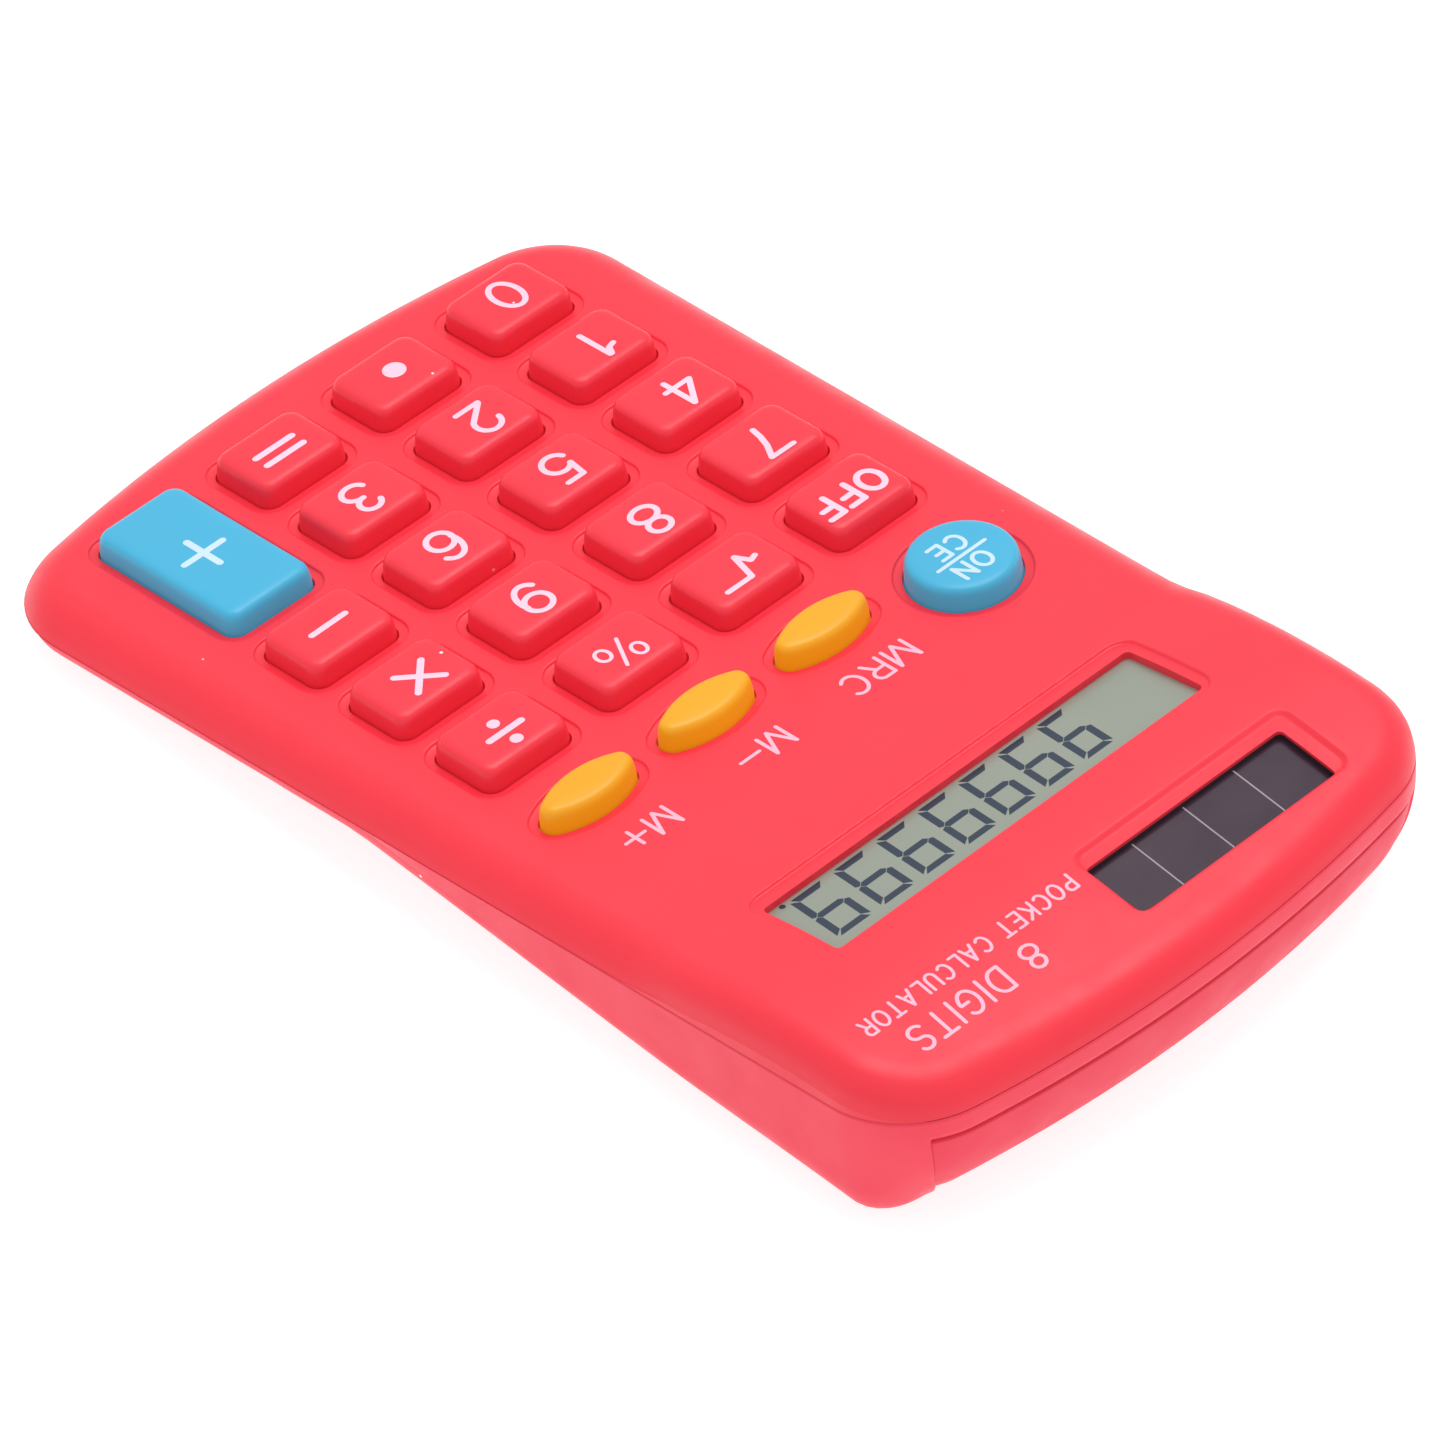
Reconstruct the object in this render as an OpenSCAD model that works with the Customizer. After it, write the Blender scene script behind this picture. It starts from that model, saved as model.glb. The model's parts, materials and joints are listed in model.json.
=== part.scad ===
/* [Display] */
// Node to draw on its own, or all of them

/* [Body] */
// Half of the width across the keypad, at the middle key row
half_w = 34.4; // [30:0.1:40]
// How much each side closes in per millimetre towards the display end
side_taper = 0.019; // [0:0.001:0.04]
// Distance from the keypad centre to the display end
top_end = 81.6; // [70:0.1:95]
// Distance from the keypad centre to the keypad end
low_end = 40.3; // [35:0.1:50]
// Plan radius of the display end
top_end_r = 133.6; // [80:0.1:300]
// Plan radius of the keypad end
low_end_r = 145; // [80:0.1:300]
// Plan radius of the corners
corner_r = 9.6; // [4:0.1:14]
// Depth of the seam between the two shells below the deck
seam_d = 3; // [2:0.1:5]
// Wall thickness of the shells
wall = 1.6; // [1:0.1:2.5]
// Thickness of the keypad deck
deck_t = 1.2; // [0.8:0.1:2]
// Rounding of the deck's side edges
deck_r = 4.9; // [2:0.1:6]
// Depth of the flat back below the deck
back_d = 6; // [5:0.1:10]
// Rounding of the back's side edges
back_r = 2.6; // [1:0.1:4]

/* [Display block] */
// Height of the crest of the display block above the deck
crest_h = 1.6; // [0.5:0.1:3]
// Position of the crest along the body
crest_y = 62.8; // [55:0.1:70]
// Radius of the arched top of the display block
arch_r = 81; // [50:1:150]
// Rounding of the display block's side edges
block_r = 3; // [1:0.1:5]
// Rounding of the display end's upper edge
end_r = 4.2; // [2:0.1:5]

/* [Battery end] */
// Radius of the curved end wall below the seam
end_wall_r = 17; // [14:0.1:25]
// Depth of the centre of the bottom rounding
bump_d = 13; // [10:0.1:14]
// Radius of the bottom rounding
bump_r = 4; // [3:0.1:6]
// Slope of the back from the keypad to the battery end, in degrees
back_slope = 9.8; // [5:0.1:15]
// Depth of the battery door's upper edge
door_top_d = 5.8; // [5:0.1:9]
// Half width of the battery door
door_half = 29.3; // [20:0.1:31]
// Where the door's edge on the back lies
door_back_y = 66; // [60:0.1:70]
// Gap round the battery door
door_gap = 0.15; // [0.05:0.05:0.5]
// Height of the gap above the battery door's upper edge
door_top_gap = 0.6; // [0.1:0.05:1]
// How far the battery door is set in from the back
door_set = 0.05; // [0:0.05:0.5]

/* [Keys] */
// Spacing of the key columns
col_pitch = 14; // [12:0.1:18]
// Spacing of the key rows
row_pitch = 11.2; // [9:0.1:14]
// Half width of a key hole
hole_a = 5.18; // [4:0.01:6]
// Half depth of a key hole
hole_b = 4.14; // [3:0.01:5]
// Corner radius of a key hole
hole_r = 1.5; // [0.5:0.1:2]
// Gap between a key and its hole
key_gap = 0.25; // [0.1:0.05:0.5]
// Height of the keys above the deck
key_h = 2; // [1:0.1:4]
// Rounding of the keys' upper edges
key_edge = 0.6; // [0.3:0.1:1.5]
// How far a key's sides lean in over its height
key_lean = 0.2; // [0:0.05:0.8]
// Key travel
key_travel = 0.8; // [0.5:0.1:2]
// Radius of the round key's hole
round_hole_r = 5.43; // [4:0.01:7]
// Position of the round key along the body
round_y = 31.1; // [25:0.1:36]
// Half length of an oval key's hole
oval_a = 5.4; // [4:0.1:7]
// Half width of an oval key's hole
oval_b = 2.6; // [1.5:0.1:4]
// End radius of an oval key's hole
oval_end = 1.65; // [1:0.05:2.5]
// Position of the oval keys along the body
oval_y = 27.7; // [24:0.1:34]
// Width of the sunk rim round each key hole
rim_w = 0.8; // [0.3:0.1:1.5]
// Depth of the sunk rim round each key hole
rim_d = 0.45; // [0.2:0.05:0.8]

/* [Windows] */
// Half width of the display window
lcd_half = 21.95; // [18:0.05:26]
// Display window edge on the keypad side
lcd_y0 = 50.35; // [48:0.05:56]
// Display window edge on the far side
lcd_y1 = 59.8; // [56:0.1:64]
// Solar window left edge
sun_x0 = -21.9; // [-28:0.1:-15]
// Solar window right edge
sun_x1 = 1.75; // [-5:0.05:10]
// Solar window edge on the display side
sun_y0 = 68.6; // [64:0.1:70]
// Solar window edge on the far side
sun_y1 = 75.8; // [72:0.1:78]
// Depth of the glass below the surface at the display window
lcd_sink = 1.2; // [0.6:0.1:1.6]

/* [Rest] */
// Tilt of the deck when the calculator stands on a table, in degrees
rest_tilt = 5.7; // [0:0.1:10]
// Shift along the table that centres the body on the origin
rest_dy = -20.85; // [-30:0.05:0]
// Depth of the flat landings where the body meets the table
landing = 0.15; // [0:0.05:0.5]

/* [Hidden] */
$fn = 64;
eps = 0.01;
big = 200;

// How far the corner circles stand out, so that they cross the sides
corner_out = 0.04;

// How far the rounding circles stand out, so that they cross the flats
trim_out = 0.04;

// Board, membrane and battery
deck_under = -deck_t;
flange_gap = 0.05;
flange_t = 0.5;
flange_w = 0.72;
board_t = 0.8;
board_top = -3.4;
board_half = 26.8;
board_y0 = -36.6;
board_y1 = 61;
sheet_t = 0.4;
sheet_half = 26.6;
sheet_y0 = -33.2;
sheet_y1 = 38.6;
dome_r = 2.8;
oval_dome_r = 2.2;
dome_top = deck_under - flange_gap - flange_t - key_travel - 0.05;
pill_t = 0.2;
pill_r = 1.5;
pill_gap = 0.02;
pocket_r = 1.9;
cell_r = 5.25;
cell_len = 44.5;
nub_r = 1.9;
nub_len = 0.8;
cell_x = 1;
cell_y = 69.2;
cell_d = 9;
cradle_t = 1.2;
cradle_y0 = 62.2;
cradle_x0 = -27;
cradle_x1 = 23.75;
cradle_top = -4.4;
cradle_low = -8.1;
cradle_run = 11;
contact_t = 0.4;
contact_w = 7;
contact_h = 8.2;
contact_drop = 3.5;
tongue_x = 27.5;
tongue_w = 1.7;
tongue_t = 1;
tongue_lift = 0.5;
stop_t = 0.8;
stop_gap = 0.3;

// Screws
case_boss_r = 2.2;
case_screw_x = 29.2;
case_screw_y = [-26.5, 45.6];
case_shank_r = 0.95;
case_pilot_r = 1;
case_clear_r = 1.15;
case_head_r = 1.8;
case_head_h = 1.1;
case_bore_r = 2.05;
case_joint_z = -3.65;
case_seat_low = -4.75;
case_seat_high = -6;
pcb_boss_r = 1.6;
pcb_screw_x = 14;
pcb_screw_y = [-35, 42];
pcb_shank_r = 0.75;
pcb_pilot_r = 0.8;
pcb_head_r = 1.3;
pcb_head_h = 0.5;

// Pillars under the board
pillar_x = 20;
pillar_y = [-20, 2, 24];
pillar_r = 1.4;

// Parts on the board
chip_y = 26;
chip_r = 9;
chip_rise = 1.5;
cap_x = 8;
cap_y = 40;
cap_r = 1.9;
cap_len = 5.5;

// Key table: name, column, row
columns = [-1.5, -0.5, 0.5, 1.5];
rows = [-2.5, -1.5, -0.5, 0.5, 1.5];
plus_row = -2;

// Glass parts
lcd_mid_y = (lcd_y0 + lcd_y1) / 2;
lcd_angle = asin((crest_y - lcd_mid_y) / arch_r);
lcd_t = 1.3;
lcd_plate_half = 23.4;
lcd_plate_b = 5.4;
sun_mid_x = (sun_x0 + sun_x1) / 2;
sun_mid_y = (sun_y0 + sun_y1) / 2;
sun_angle = asin((crest_y - sun_mid_y) / arch_r);
sun_t = 1.1;
sun_plate_a = (sun_x1 - sun_x0) / 2 + 1.2;
sun_plate_b = (sun_y1 - sun_y0) / 2 + 0.9;
sun_sink = 1.25;
glass_gap = 0.2;
lcd_rim_x = 1.05;
lcd_rim_low = 1.4;
lcd_rim_high = 0.95;
lcd_rim_d = 0.4;
zebra_half = 22;
zebra_y0 = 49.8;
zebra_w = 1.5;
zebra_h = 1.5;
sun_rim = 0.9;
sun_rim_d = 0.35;

taper_a = atan(side_taper);
wall_a = asin((bump_d - seam_d) / (end_wall_r - bump_r));
bump_y = top_end - end_wall_r + (end_wall_r - bump_r) * cos(wall_a);
run = bump_y - bump_r * sin(back_slope);
low_z = -bump_d - bump_r * cos(back_slope);
kink_y = run - (-back_d - low_z) / tan(back_slope);

function arch_z(y) = crest_h - arch_r + sqrt(arch_r * arch_r - (y - crest_y) * (y - crest_y));
function back_z(y) = y < kink_y ? -back_d : low_z + (run - y) * tan(back_slope);
function col_x(i) = columns[i] * col_pitch;
function row_y(j) = rows[j] * row_pitch;
function dot2(a, b) = a[0] * b[0] + a[1] * b[1];
function unit2(a) = a / norm(a);

// Centre of a corner arc tangent to a side and to an end arc
function corner_n(a) = [cos(a), sin(a)];
function corner_t(a) = [-sin(a), cos(a)];
function corner_p(a, e, r) = corner_n(a) * (half_w * cos(a) - corner_r) - [0, e - r];
function corner_q(a, e, r) = dot2(corner_p(a, e, r), corner_t(a));
function corner_c(a, e, r) = dot2(corner_p(a, e, r), corner_p(a, e, r)) - pow(r - corner_r, 2);
function corner_s(a, e, r) = -corner_q(a, e, r) + sqrt(pow(corner_q(a, e, r), 2) - corner_c(a, e, r));
function corner_mid(a, e, r) = corner_n(a) * (half_w * cos(a) - corner_r) + corner_t(a) * corner_s(a, e, r);

rest_low = -(low_end - back_r) * sin(rest_tilt) - (back_d - back_r) * cos(rest_tilt) - back_r;
rest_dz = -rest_low - landing;

module at_rest() {
    translate([0, rest_dy, rest_dz])
        rotate([rest_tilt, 0, 0])
            children();
}

module corner_cut(a, e, r, inset) {
    n = corner_n(a);
    m = unit2(corner_mid(a, e, r) - [0, e - r]);
    mid = corner_mid(a, e, r) + corner_out * unit2(n + m);
    k = 3 * corner_r;
    difference() {
        polygon([mid, mid + k * n, mid + k * (n + m), mid + k * m]);
        translate(mid)
            circle(r = corner_r - inset);
    }
}

module four_corners(inset) {
    for (s = [0, 1]) {
        mirror([s, 0, 0])
            corner_cut(taper_a, top_end, top_end_r, inset);
        mirror([s, 0, 0])
            mirror([0, 1, 0])
                corner_cut(-taper_a, low_end, low_end_r, inset);
    }
}

module plan(inset) {
    span = 100;
    x_low = half_w + side_taper * span - inset / cos(taper_a);
    x_high = half_w - side_taper * span - inset / cos(taper_a);
    difference() {
        intersection() {
            polygon([[-x_low, -span], [x_low, -span], [x_high, span], [-x_high, span]]);
            translate([0, top_end - top_end_r])
                circle(r = top_end_r - inset);
            translate([0, low_end_r - low_end])
                circle(r = low_end_r - inset);
        }
        four_corners(inset);
    }
}

module slab(z0, z1, inset) {
    translate([0, 0, z0])
        linear_extrude(height = z1 - z0)
            plan(inset);
}

// Cross-section drawn in X and Z, run along Y from y0 to y1
module along_y(y0, y1) {
    translate([0, y1, 0])
        rotate([90, 0, 0])
            linear_extrude(height = y1 - y0)
                children();
}

// Cross-section drawn in Y and Z, run along X from x0 to x1
module along_x(x0, x1) {
    translate([x0, 0, 0])
        rotate([90, 0, 90])
            linear_extrude(height = x1 - x0)
                children();
}

module side_trim(half, z_top, r) {
    for (s = [0, 1]) {
        mirror([s, 0])
            difference() {
                translate([half - r, z_top - r])
                    square([r + 5, r + 5]);
                translate([half - r, z_top - r + trim_out])
                    circle(r = r);
            }
    }
}

module ring_trim(r_end, z_top, r) {
    rotate_extrude($fn = 96)
        difference() {
            translate([r_end - r, z_top - r])
                square([r + 4, r + 4]);
            translate([r_end - r, z_top - r + trim_out])
                circle(r = r);
        }
}

module rrect(a, b, r) {
    square([2 * a - 2 * r, 2 * b], center = true);
    square([2 * a, 2 * b - 2 * r], center = true);
    for (x = [-1, 1]) {
        for (y = [-1, 1]) {
            translate([x * (a - r), y * (b - r)])
                circle(r = r);
        }
    }
}

module oval(a, b, r) {
    c = a - r;
    big_r = (c * c + b * b - r * r) / (2 * (b - r));
    k = big_r - b;
    side_x = c + r * c / (big_r - r) - 0.3;
    intersection() {
        square([2 * side_x, 4 * b], center = true);
        translate([0, k])
            circle(r = big_r);
        translate([0, -k])
            circle(r = big_r);
    }
    for (s = [-1, 1]) {
        translate([s * c, 0])
            circle(r = r);
    }
}

// ---- upper shell ----

module deck_body() {
    difference() {
        slab(-seam_d, 0, 0);
        along_y(-big, big)
            side_trim(half_w + 0.4, 0, deck_r);
        translate([0, low_end_r - low_end, 0])
            ring_trim(low_end_r + 0.3, 0, deck_r);
    }
}

module arch_profile(r) {
    intersection() {
        translate([crest_y, crest_h - arch_r])
            circle(r = r, $fn = 128);
        translate([47, -seam_d])
            square([40, 10]);
    }
}

module block_body() {
    intersection() {
        slab(-seam_d, crest_h + 1, 0);
        difference() {
            along_x(-40, 40)
                arch_profile(arch_r);
            along_y(40, 90)
                side_trim(half_w, crest_h, block_r);
        }
    }
}

module upper_hollow() {
    step_z = -2.1;
    slab(-seam_d - 1, step_z, wall);
    intersection() {
        slab(step_z - eps, deck_under, 2 * wall);
        translate([-40, -60, -10])
            cube([80, 110, 20]);
    }
    intersection() {
        slab(step_z - eps, crest_h, 2 * wall);
        along_x(-40, 40)
            difference() {
                arch_profile(arch_r - deck_t);
                translate([40, -20])
                    square([8.5, 40]);
            }
    }
}

module key_holes(grow, z0, z1) {
    translate([0, 0, z0])
        linear_extrude(height = z1 - z0) {
            for (i = [0:3]) {
                for (j = [(i == 3 ? 2 : 0):4]) {
                    translate([col_x(i), row_y(j)])
                        rrect(hole_a + grow, hole_b + grow, hole_r + grow);
                }
            }
            translate([col_x(3), plus_row * row_pitch])
                rrect(hole_a + grow, hole_b + row_pitch / 2 + grow, hole_r + grow);
            translate([col_x(0), round_y])
                circle(r = round_hole_r + grow);
            for (i = [1:3]) {
                translate([col_x(i), oval_y])
                    oval(oval_a + grow, oval_b + grow, oval_end + grow);
            }
        }
}

// Tilts a child with its own origin on to the arch at y, sunk by d
module on_arch(x, y, d) {
    translate([x, y, arch_z(y)])
        rotate([asin((crest_y - y) / arch_r), 0, 0])
            translate([0, 0, -d])
                children();
}

module lcd_cut() {
    half_y = (lcd_y1 - lcd_y0) / 2;
    on_arch(0, lcd_mid_y, 0) {
        translate([-lcd_half, -half_y, -4])
            cube([2 * lcd_half, 2 * half_y, 8]);
        translate([-lcd_half - lcd_rim_x, -half_y - lcd_rim_low, -lcd_rim_d])
            cube([2 * (lcd_half + lcd_rim_x), 2 * half_y + lcd_rim_low + lcd_rim_high, 4]);
        translate([-lcd_plate_half - glass_gap, -lcd_plate_b - glass_gap, -lcd_sink - 4])
            cube([2 * (lcd_plate_half + glass_gap), 2 * (lcd_plate_b + glass_gap), 4]);
    }
}

module sun_cut() {
    a = (sun_x1 - sun_x0) / 2;
    b = (sun_y1 - sun_y0) / 2;
    on_arch(sun_mid_x, sun_mid_y, 0) {
        translate([-a, -b, -4])
            cube([2 * a, 2 * b, 8]);
        translate([-a - sun_rim, -b - sun_rim, -sun_rim_d])
            cube([2 * (a + sun_rim), 2 * (b + sun_rim), 4]);
        translate([-sun_plate_a - glass_gap, -sun_plate_b - glass_gap, -sun_sink - 4])
            cube([2 * (sun_plate_a + glass_gap), 2 * (sun_plate_b + glass_gap), 4]);
    }
}

module upper_shell_body() {
    difference() {
        union() {
            difference() {
                union() {
                    deck_body();
                    block_body();
                }
                translate([0, top_end - top_end_r, 0])
                    ring_trim(top_end_r, arch_z(top_end - end_r), end_r);
                upper_hollow();
            }
            for (s = [-1, 1]) {
                for (y = case_screw_y) {
                    translate([s * case_screw_x, y, case_joint_z])
                        cylinder(r = case_boss_r, h = deck_under - case_joint_z + 0.2);
                }
                for (y = pcb_screw_y) {
                    translate([s * pcb_screw_x, y, board_top])
                        cylinder(r = pcb_boss_r, h = deck_under - board_top + 0.2);
                }
            }
        }
        for (s = [-1, 1]) {
            for (y = case_screw_y) {
                translate([s * case_screw_x, y, case_joint_z - 1])
                    cylinder(r = case_pilot_r, h = deck_under - case_joint_z + 1);
            }
            for (y = pcb_screw_y) {
                translate([s * pcb_screw_x, y, board_top - 1])
                    cylinder(r = pcb_pilot_r, h = deck_under - board_top + 1);
            }
        }
        key_holes(0, -seam_d, 1);
        key_holes(rim_w, -rim_d, 1);
        lcd_cut();
        sun_cut();
    }
}

// ---- lower shell and battery door ----

module back_keep(skin) {
    end_y = top_end + 10;
    lift = skin / cos(back_slope);
    polygon([
        [-60, -back_d + skin],
        [kink_y, -back_d + skin],
        [end_y, low_z + lift - (end_y - run) * tan(back_slope)],
        [end_y, 0],
        [-60, 0]
    ]);
}

// Curved end wall and bottom rounding, turned about the display end's plan centre
module end_keep(skin) {
    r = bump_r - skin;
    hub = top_end_r - end_wall_r;
    c = [top_end_r - top_end + bump_y, -bump_d];
    far = 3 * end_wall_r;
    rotate_extrude($fn = 96) {
        polygon([
            [1, c[1] - r + 0.02],
            [c[0], c[1] - r + 0.02],
            c,
            [hub, -seam_d],
            [top_end_r - skin, -seam_d],
            [top_end_r - skin, 1],
            [1, 1]
        ]);
        intersection() {
            translate([hub, -seam_d])
                circle(r = end_wall_r - skin);
            translate([hub, -seam_d])
                polygon([[0, 0], [far * cos(wall_a), -far * sin(wall_a)], [far, 0]]);
        }
        translate(c)
            circle(r = r);
    }
}

module lower_body(skin) {
    difference() {
        intersection() {
            slab(-30, -seam_d + (skin > 0 ? 1 : 0), skin);
            along_x(-40, 40)
                back_keep(skin);
            translate([0, top_end - top_end_r, 0])
                end_keep(skin);
        }
        if (skin == 0) {
            lower_trims();
        }
    }
}

module lower_trims() {
    along_y(-60, kink_y + 0.3)
        mirror([0, 1])
            side_trim(half_w + 0.2, back_d, back_r);
    translate([0, kink_y, -back_d])
        rotate([-back_slope, 0, 0])
            along_y(-2, 90)
                mirror([0, 1])
                    side_trim(half_w - 0.4, 0, back_r);
    translate([0, low_end_r - low_end, 0])
        mirror([0, 0, 1])
            ring_trim(low_end_r, back_d, back_r);
}

module door_zone(grow, above) {
    x = door_half + grow;
    translate([-x, door_back_y - grow, -40])
        cube([2 * x, 40, 40 - door_top_d + above]);
}

// Curved band of the end wall between two depths, from skin s0 to skin s1
module end_band(s0, s1, z0, z1) {
    intersection() {
        difference() {
            lower_body(s0);
            lower_body(s1);
        }
        translate([-door_half - 1, door_back_y + 4, z0])
            cube([2 * door_half + 2, 40, z1 - z0]);
    }
}

// Lip inside the end wall that closes the gap above the battery door
module door_stop() {
    edge = -door_top_d + door_top_gap;
    end_band(wall - 0.4, wall + stop_t + stop_gap, edge + 0.1, edge + 0.9);
    end_band(wall + stop_gap, wall + stop_t + stop_gap, edge - 1.4, edge + 0.9);
}

module cradle() {
    x = door_half - 1;
    intersection() {
        lower_body(wall);
        union() {
            translate([-x, cradle_y0, -30])
                cube([2 * x, cradle_t, 30 + cradle_top]);
            for (p = [cradle_x0, cradle_x1]) {
                translate([p, cradle_y0, cradle_low])
                    cube([cradle_t, cradle_run, cradle_top - cradle_low]);
            }
        }
    }
}

module lower_shell_body() {
    difference() {
        union() {
            difference() {
                lower_body(0);
                lower_body(wall);
                intersection() {
                    difference() {
                        lower_body(0);
                        lower_body(wall);
                    }
                    door_zone(door_gap, door_top_gap);
                }
            }
            intersection() {
                lower_body(0);
                for (s = [-1, 1]) {
                    for (y = case_screw_y) {
                        translate([s * case_screw_x, y, -30])
                            cylinder(r = case_bore_r + 1, h = 30 + case_joint_z);
                    }
                    for (y = pillar_y) {
                        translate([s * pillar_x, y, -30])
                            cylinder(r = pillar_r, h = 30 + board_top - board_t);
                    }
                }
            }
            cradle();
            door_stop();
        }
        for (s = [-1, 1]) {
            translate([s * pcb_screw_x, pcb_screw_y[0], -back_d + 1.05])
                cylinder(r = pcb_head_r + 0.4, h = 2);
            for (k = [0, 1]) {
                seat = k == 0 ? case_seat_low : case_seat_high;
                translate([s * case_screw_x, case_screw_y[k], -30])
                    cylinder(r = case_bore_r, h = 30 + seat);
                translate([s * case_screw_x, case_screw_y[k], -30])
                    cylinder(r = case_clear_r, h = 30);
            }
        }
    }
}

// ---- keys ----

module cap_section(half) {
    top = half - key_lean;
    polygon([
        [-half, deck_under - flange_gap - flange_t],
        [half, deck_under - flange_gap - flange_t],
        [half, 0],
        [top, key_h - key_edge],
        [-top, key_h - key_edge],
        [-half, 0]
    ]);
    translate([-(top - key_edge), 0])
        square([2 * (top - key_edge), key_h]);
    for (s = [-1, 1]) {
        translate([s * (top - key_edge), key_h - key_edge])
            circle(r = key_edge);
    }
}

module flange(a, b, r) {
    translate([0, 0, deck_under - flange_gap - flange_t])
        linear_extrude(height = flange_t)
            rrect(a + flange_w, b + flange_w, r);
}

module key_block(b_more) {
    a = hole_a - key_gap;
    b = hole_b - key_gap + b_more;
    intersection() {
        translate([0, 0, -3])
            linear_extrude(height = 8)
                rrect(a, b, hole_r - 0.1);
        along_y(-20, 20)
            cap_section(a);
        along_x(-20, 20)
            cap_section(b);
    }
    flange(a, b, hole_r);
}

module key_at(i, j) {
    at_rest()
        translate([col_x(i), row_y(j), 0])
            key_block(0);
}

module round_key() {
    r = round_hole_r - key_gap;
    rotate_extrude()
        intersection() {
            cap_section(r);
            translate([0, -5])
                square([10, 10]);
        }
    translate([0, 0, deck_under - flange_gap - flange_t])
        cylinder(r = r + flange_w, h = flange_t);
}

module oval_key() {
    g = key_gap;
    low = deck_under - flange_gap - flange_t;
    top = key_h - 0.5;
    translate([0, 0, low])
        linear_extrude(height = top - low)
            oval(oval_a - g, oval_b - g, oval_end - g);
    translate([0, 0, low])
        linear_extrude(height = key_h - low)
            oval(oval_a - g - 0.35, oval_b - g - 0.35, oval_end - g - 0.3);
    translate([0, 0, low])
        linear_extrude(height = flange_t)
            oval(oval_a - g + flange_w, oval_b - g + flange_w, oval_end + flange_w);
}

module oval_at(i) {
    at_rest()
        translate([col_x(i), oval_y, 0])
            oval_key();
}

// Places a child at every key
module at_keys() {
    for (i = [0:3]) {
        for (j = [(i == 3 ? 2 : 0):4]) {
            translate([col_x(i), row_y(j), 0])
                children();
        }
    }
    translate([col_x(3), plus_row * row_pitch, 0])
        children();
    translate([col_x(0), round_y, 0])
        children();
}

module at_ovals() {
    for (i = [1:3]) {
        translate([col_x(i), oval_y, 0])
            children();
    }
}

// ---- nodes ----

module upper_shell() {
    color([0.86, 0.14, 0.2])
        at_rest()
            upper_shell_body();
}

// Cuts the landings flat on the table
module above_table() {
    intersection() {
        children();
        translate([-big / 2, -big / 2, 0])
            cube([big, big, big]);
    }
}

module lower_shell() {
    color([0.84, 0.14, 0.2])
        above_table()
            at_rest()
                lower_shell_body();
}

module battery_door() {
    color([0.82, 0.15, 0.21])
        above_table()
            at_rest() {
                intersection() {
                    translate([0, -0.1, door_set])
                        difference() {
                            lower_body(0);
                            lower_body(wall);
                        }
                    door_zone(0, 0);
                }
                for (s = [0, 1]) {
                    mirror([s, 0, 0])
                        translate([tongue_x, door_back_y - 2, back_z(door_back_y) + wall + tongue_lift])
                            rotate([-back_slope, 0, 0]) {
                                cube([tongue_w, 4, tongue_t]);
                                translate([0, 2.15, -tongue_lift])
                                    cube([tongue_w, 1.85, tongue_t]);
                            }
                }
            }
}

module key_0() {
    color([0.85, 0.14, 0.2])
        key_at(0, 0);
}

module key_1() {
    color([0.85, 0.14, 0.2])
        key_at(0, 1);
}

module key_2() {
    color([0.85, 0.14, 0.2])
        key_at(1, 1);
}

module key_3() {
    color([0.85, 0.14, 0.2])
        key_at(2, 1);
}

module key_4() {
    color([0.85, 0.14, 0.2])
        key_at(0, 2);
}

module key_5() {
    color([0.85, 0.14, 0.2])
        key_at(1, 2);
}

module key_6() {
    color([0.85, 0.14, 0.2])
        key_at(2, 2);
}

module key_7() {
    color([0.85, 0.14, 0.2])
        key_at(0, 3);
}

module key_8() {
    color([0.85, 0.14, 0.2])
        key_at(1, 3);
}

module key_9() {
    color([0.85, 0.14, 0.2])
        key_at(2, 3);
}

module key_point() {
    color([0.85, 0.14, 0.2])
        key_at(1, 0);
}

module key_equals() {
    color([0.85, 0.14, 0.2])
        key_at(2, 0);
}

module key_minus() {
    color([0.85, 0.14, 0.2])
        key_at(3, 2);
}

module key_times() {
    color([0.85, 0.14, 0.2])
        key_at(3, 3);
}

module key_divide() {
    color([0.85, 0.14, 0.2])
        key_at(3, 4);
}

module key_percent() {
    color([0.85, 0.14, 0.2])
        key_at(2, 4);
}

module key_root() {
    color([0.85, 0.14, 0.2])
        key_at(1, 4);
}

module key_off() {
    color([0.85, 0.14, 0.2])
        key_at(0, 4);
}

module key_plus() {
    color([0.15, 0.55, 0.8])
        at_rest()
            translate([col_x(3), plus_row * row_pitch, 0])
                key_block(row_pitch / 2);
}

module key_on() {
    color([0.15, 0.55, 0.8])
        at_rest()
            translate([col_x(0), round_y, 0])
                round_key();
}

module key_m_recall() {
    color([0.95, 0.6, 0.1])
        oval_at(1);
}

module key_m_minus() {
    color([0.95, 0.6, 0.1])
        oval_at(2);
}

module key_m_plus() {
    color([0.95, 0.6, 0.1])
        oval_at(3);
}

module key_membrane() {
    color([0.75, 0.75, 0.72])
        at_rest()
            difference() {
                union() {
                    translate([-sheet_half, sheet_y0, board_top])
                        cube([2 * sheet_half, sheet_y1 - sheet_y0, sheet_t]);
                    at_keys()
                        translate([0, 0, board_top])
                            cylinder(r = dome_r, h = dome_top - board_top);
                    at_ovals()
                        translate([0, 0, board_top])
                            cylinder(r = oval_dome_r, h = dome_top - board_top);
                }
                at_keys()
                    translate([0, 0, board_top - 1])
                        cylinder(r = pocket_r, h = 1 + pill_gap + pill_t);
                at_ovals()
                    translate([0, 0, board_top - 1])
                        cylinder(r = pocket_r, h = 1 + pill_gap + pill_t);
            }
}

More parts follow.
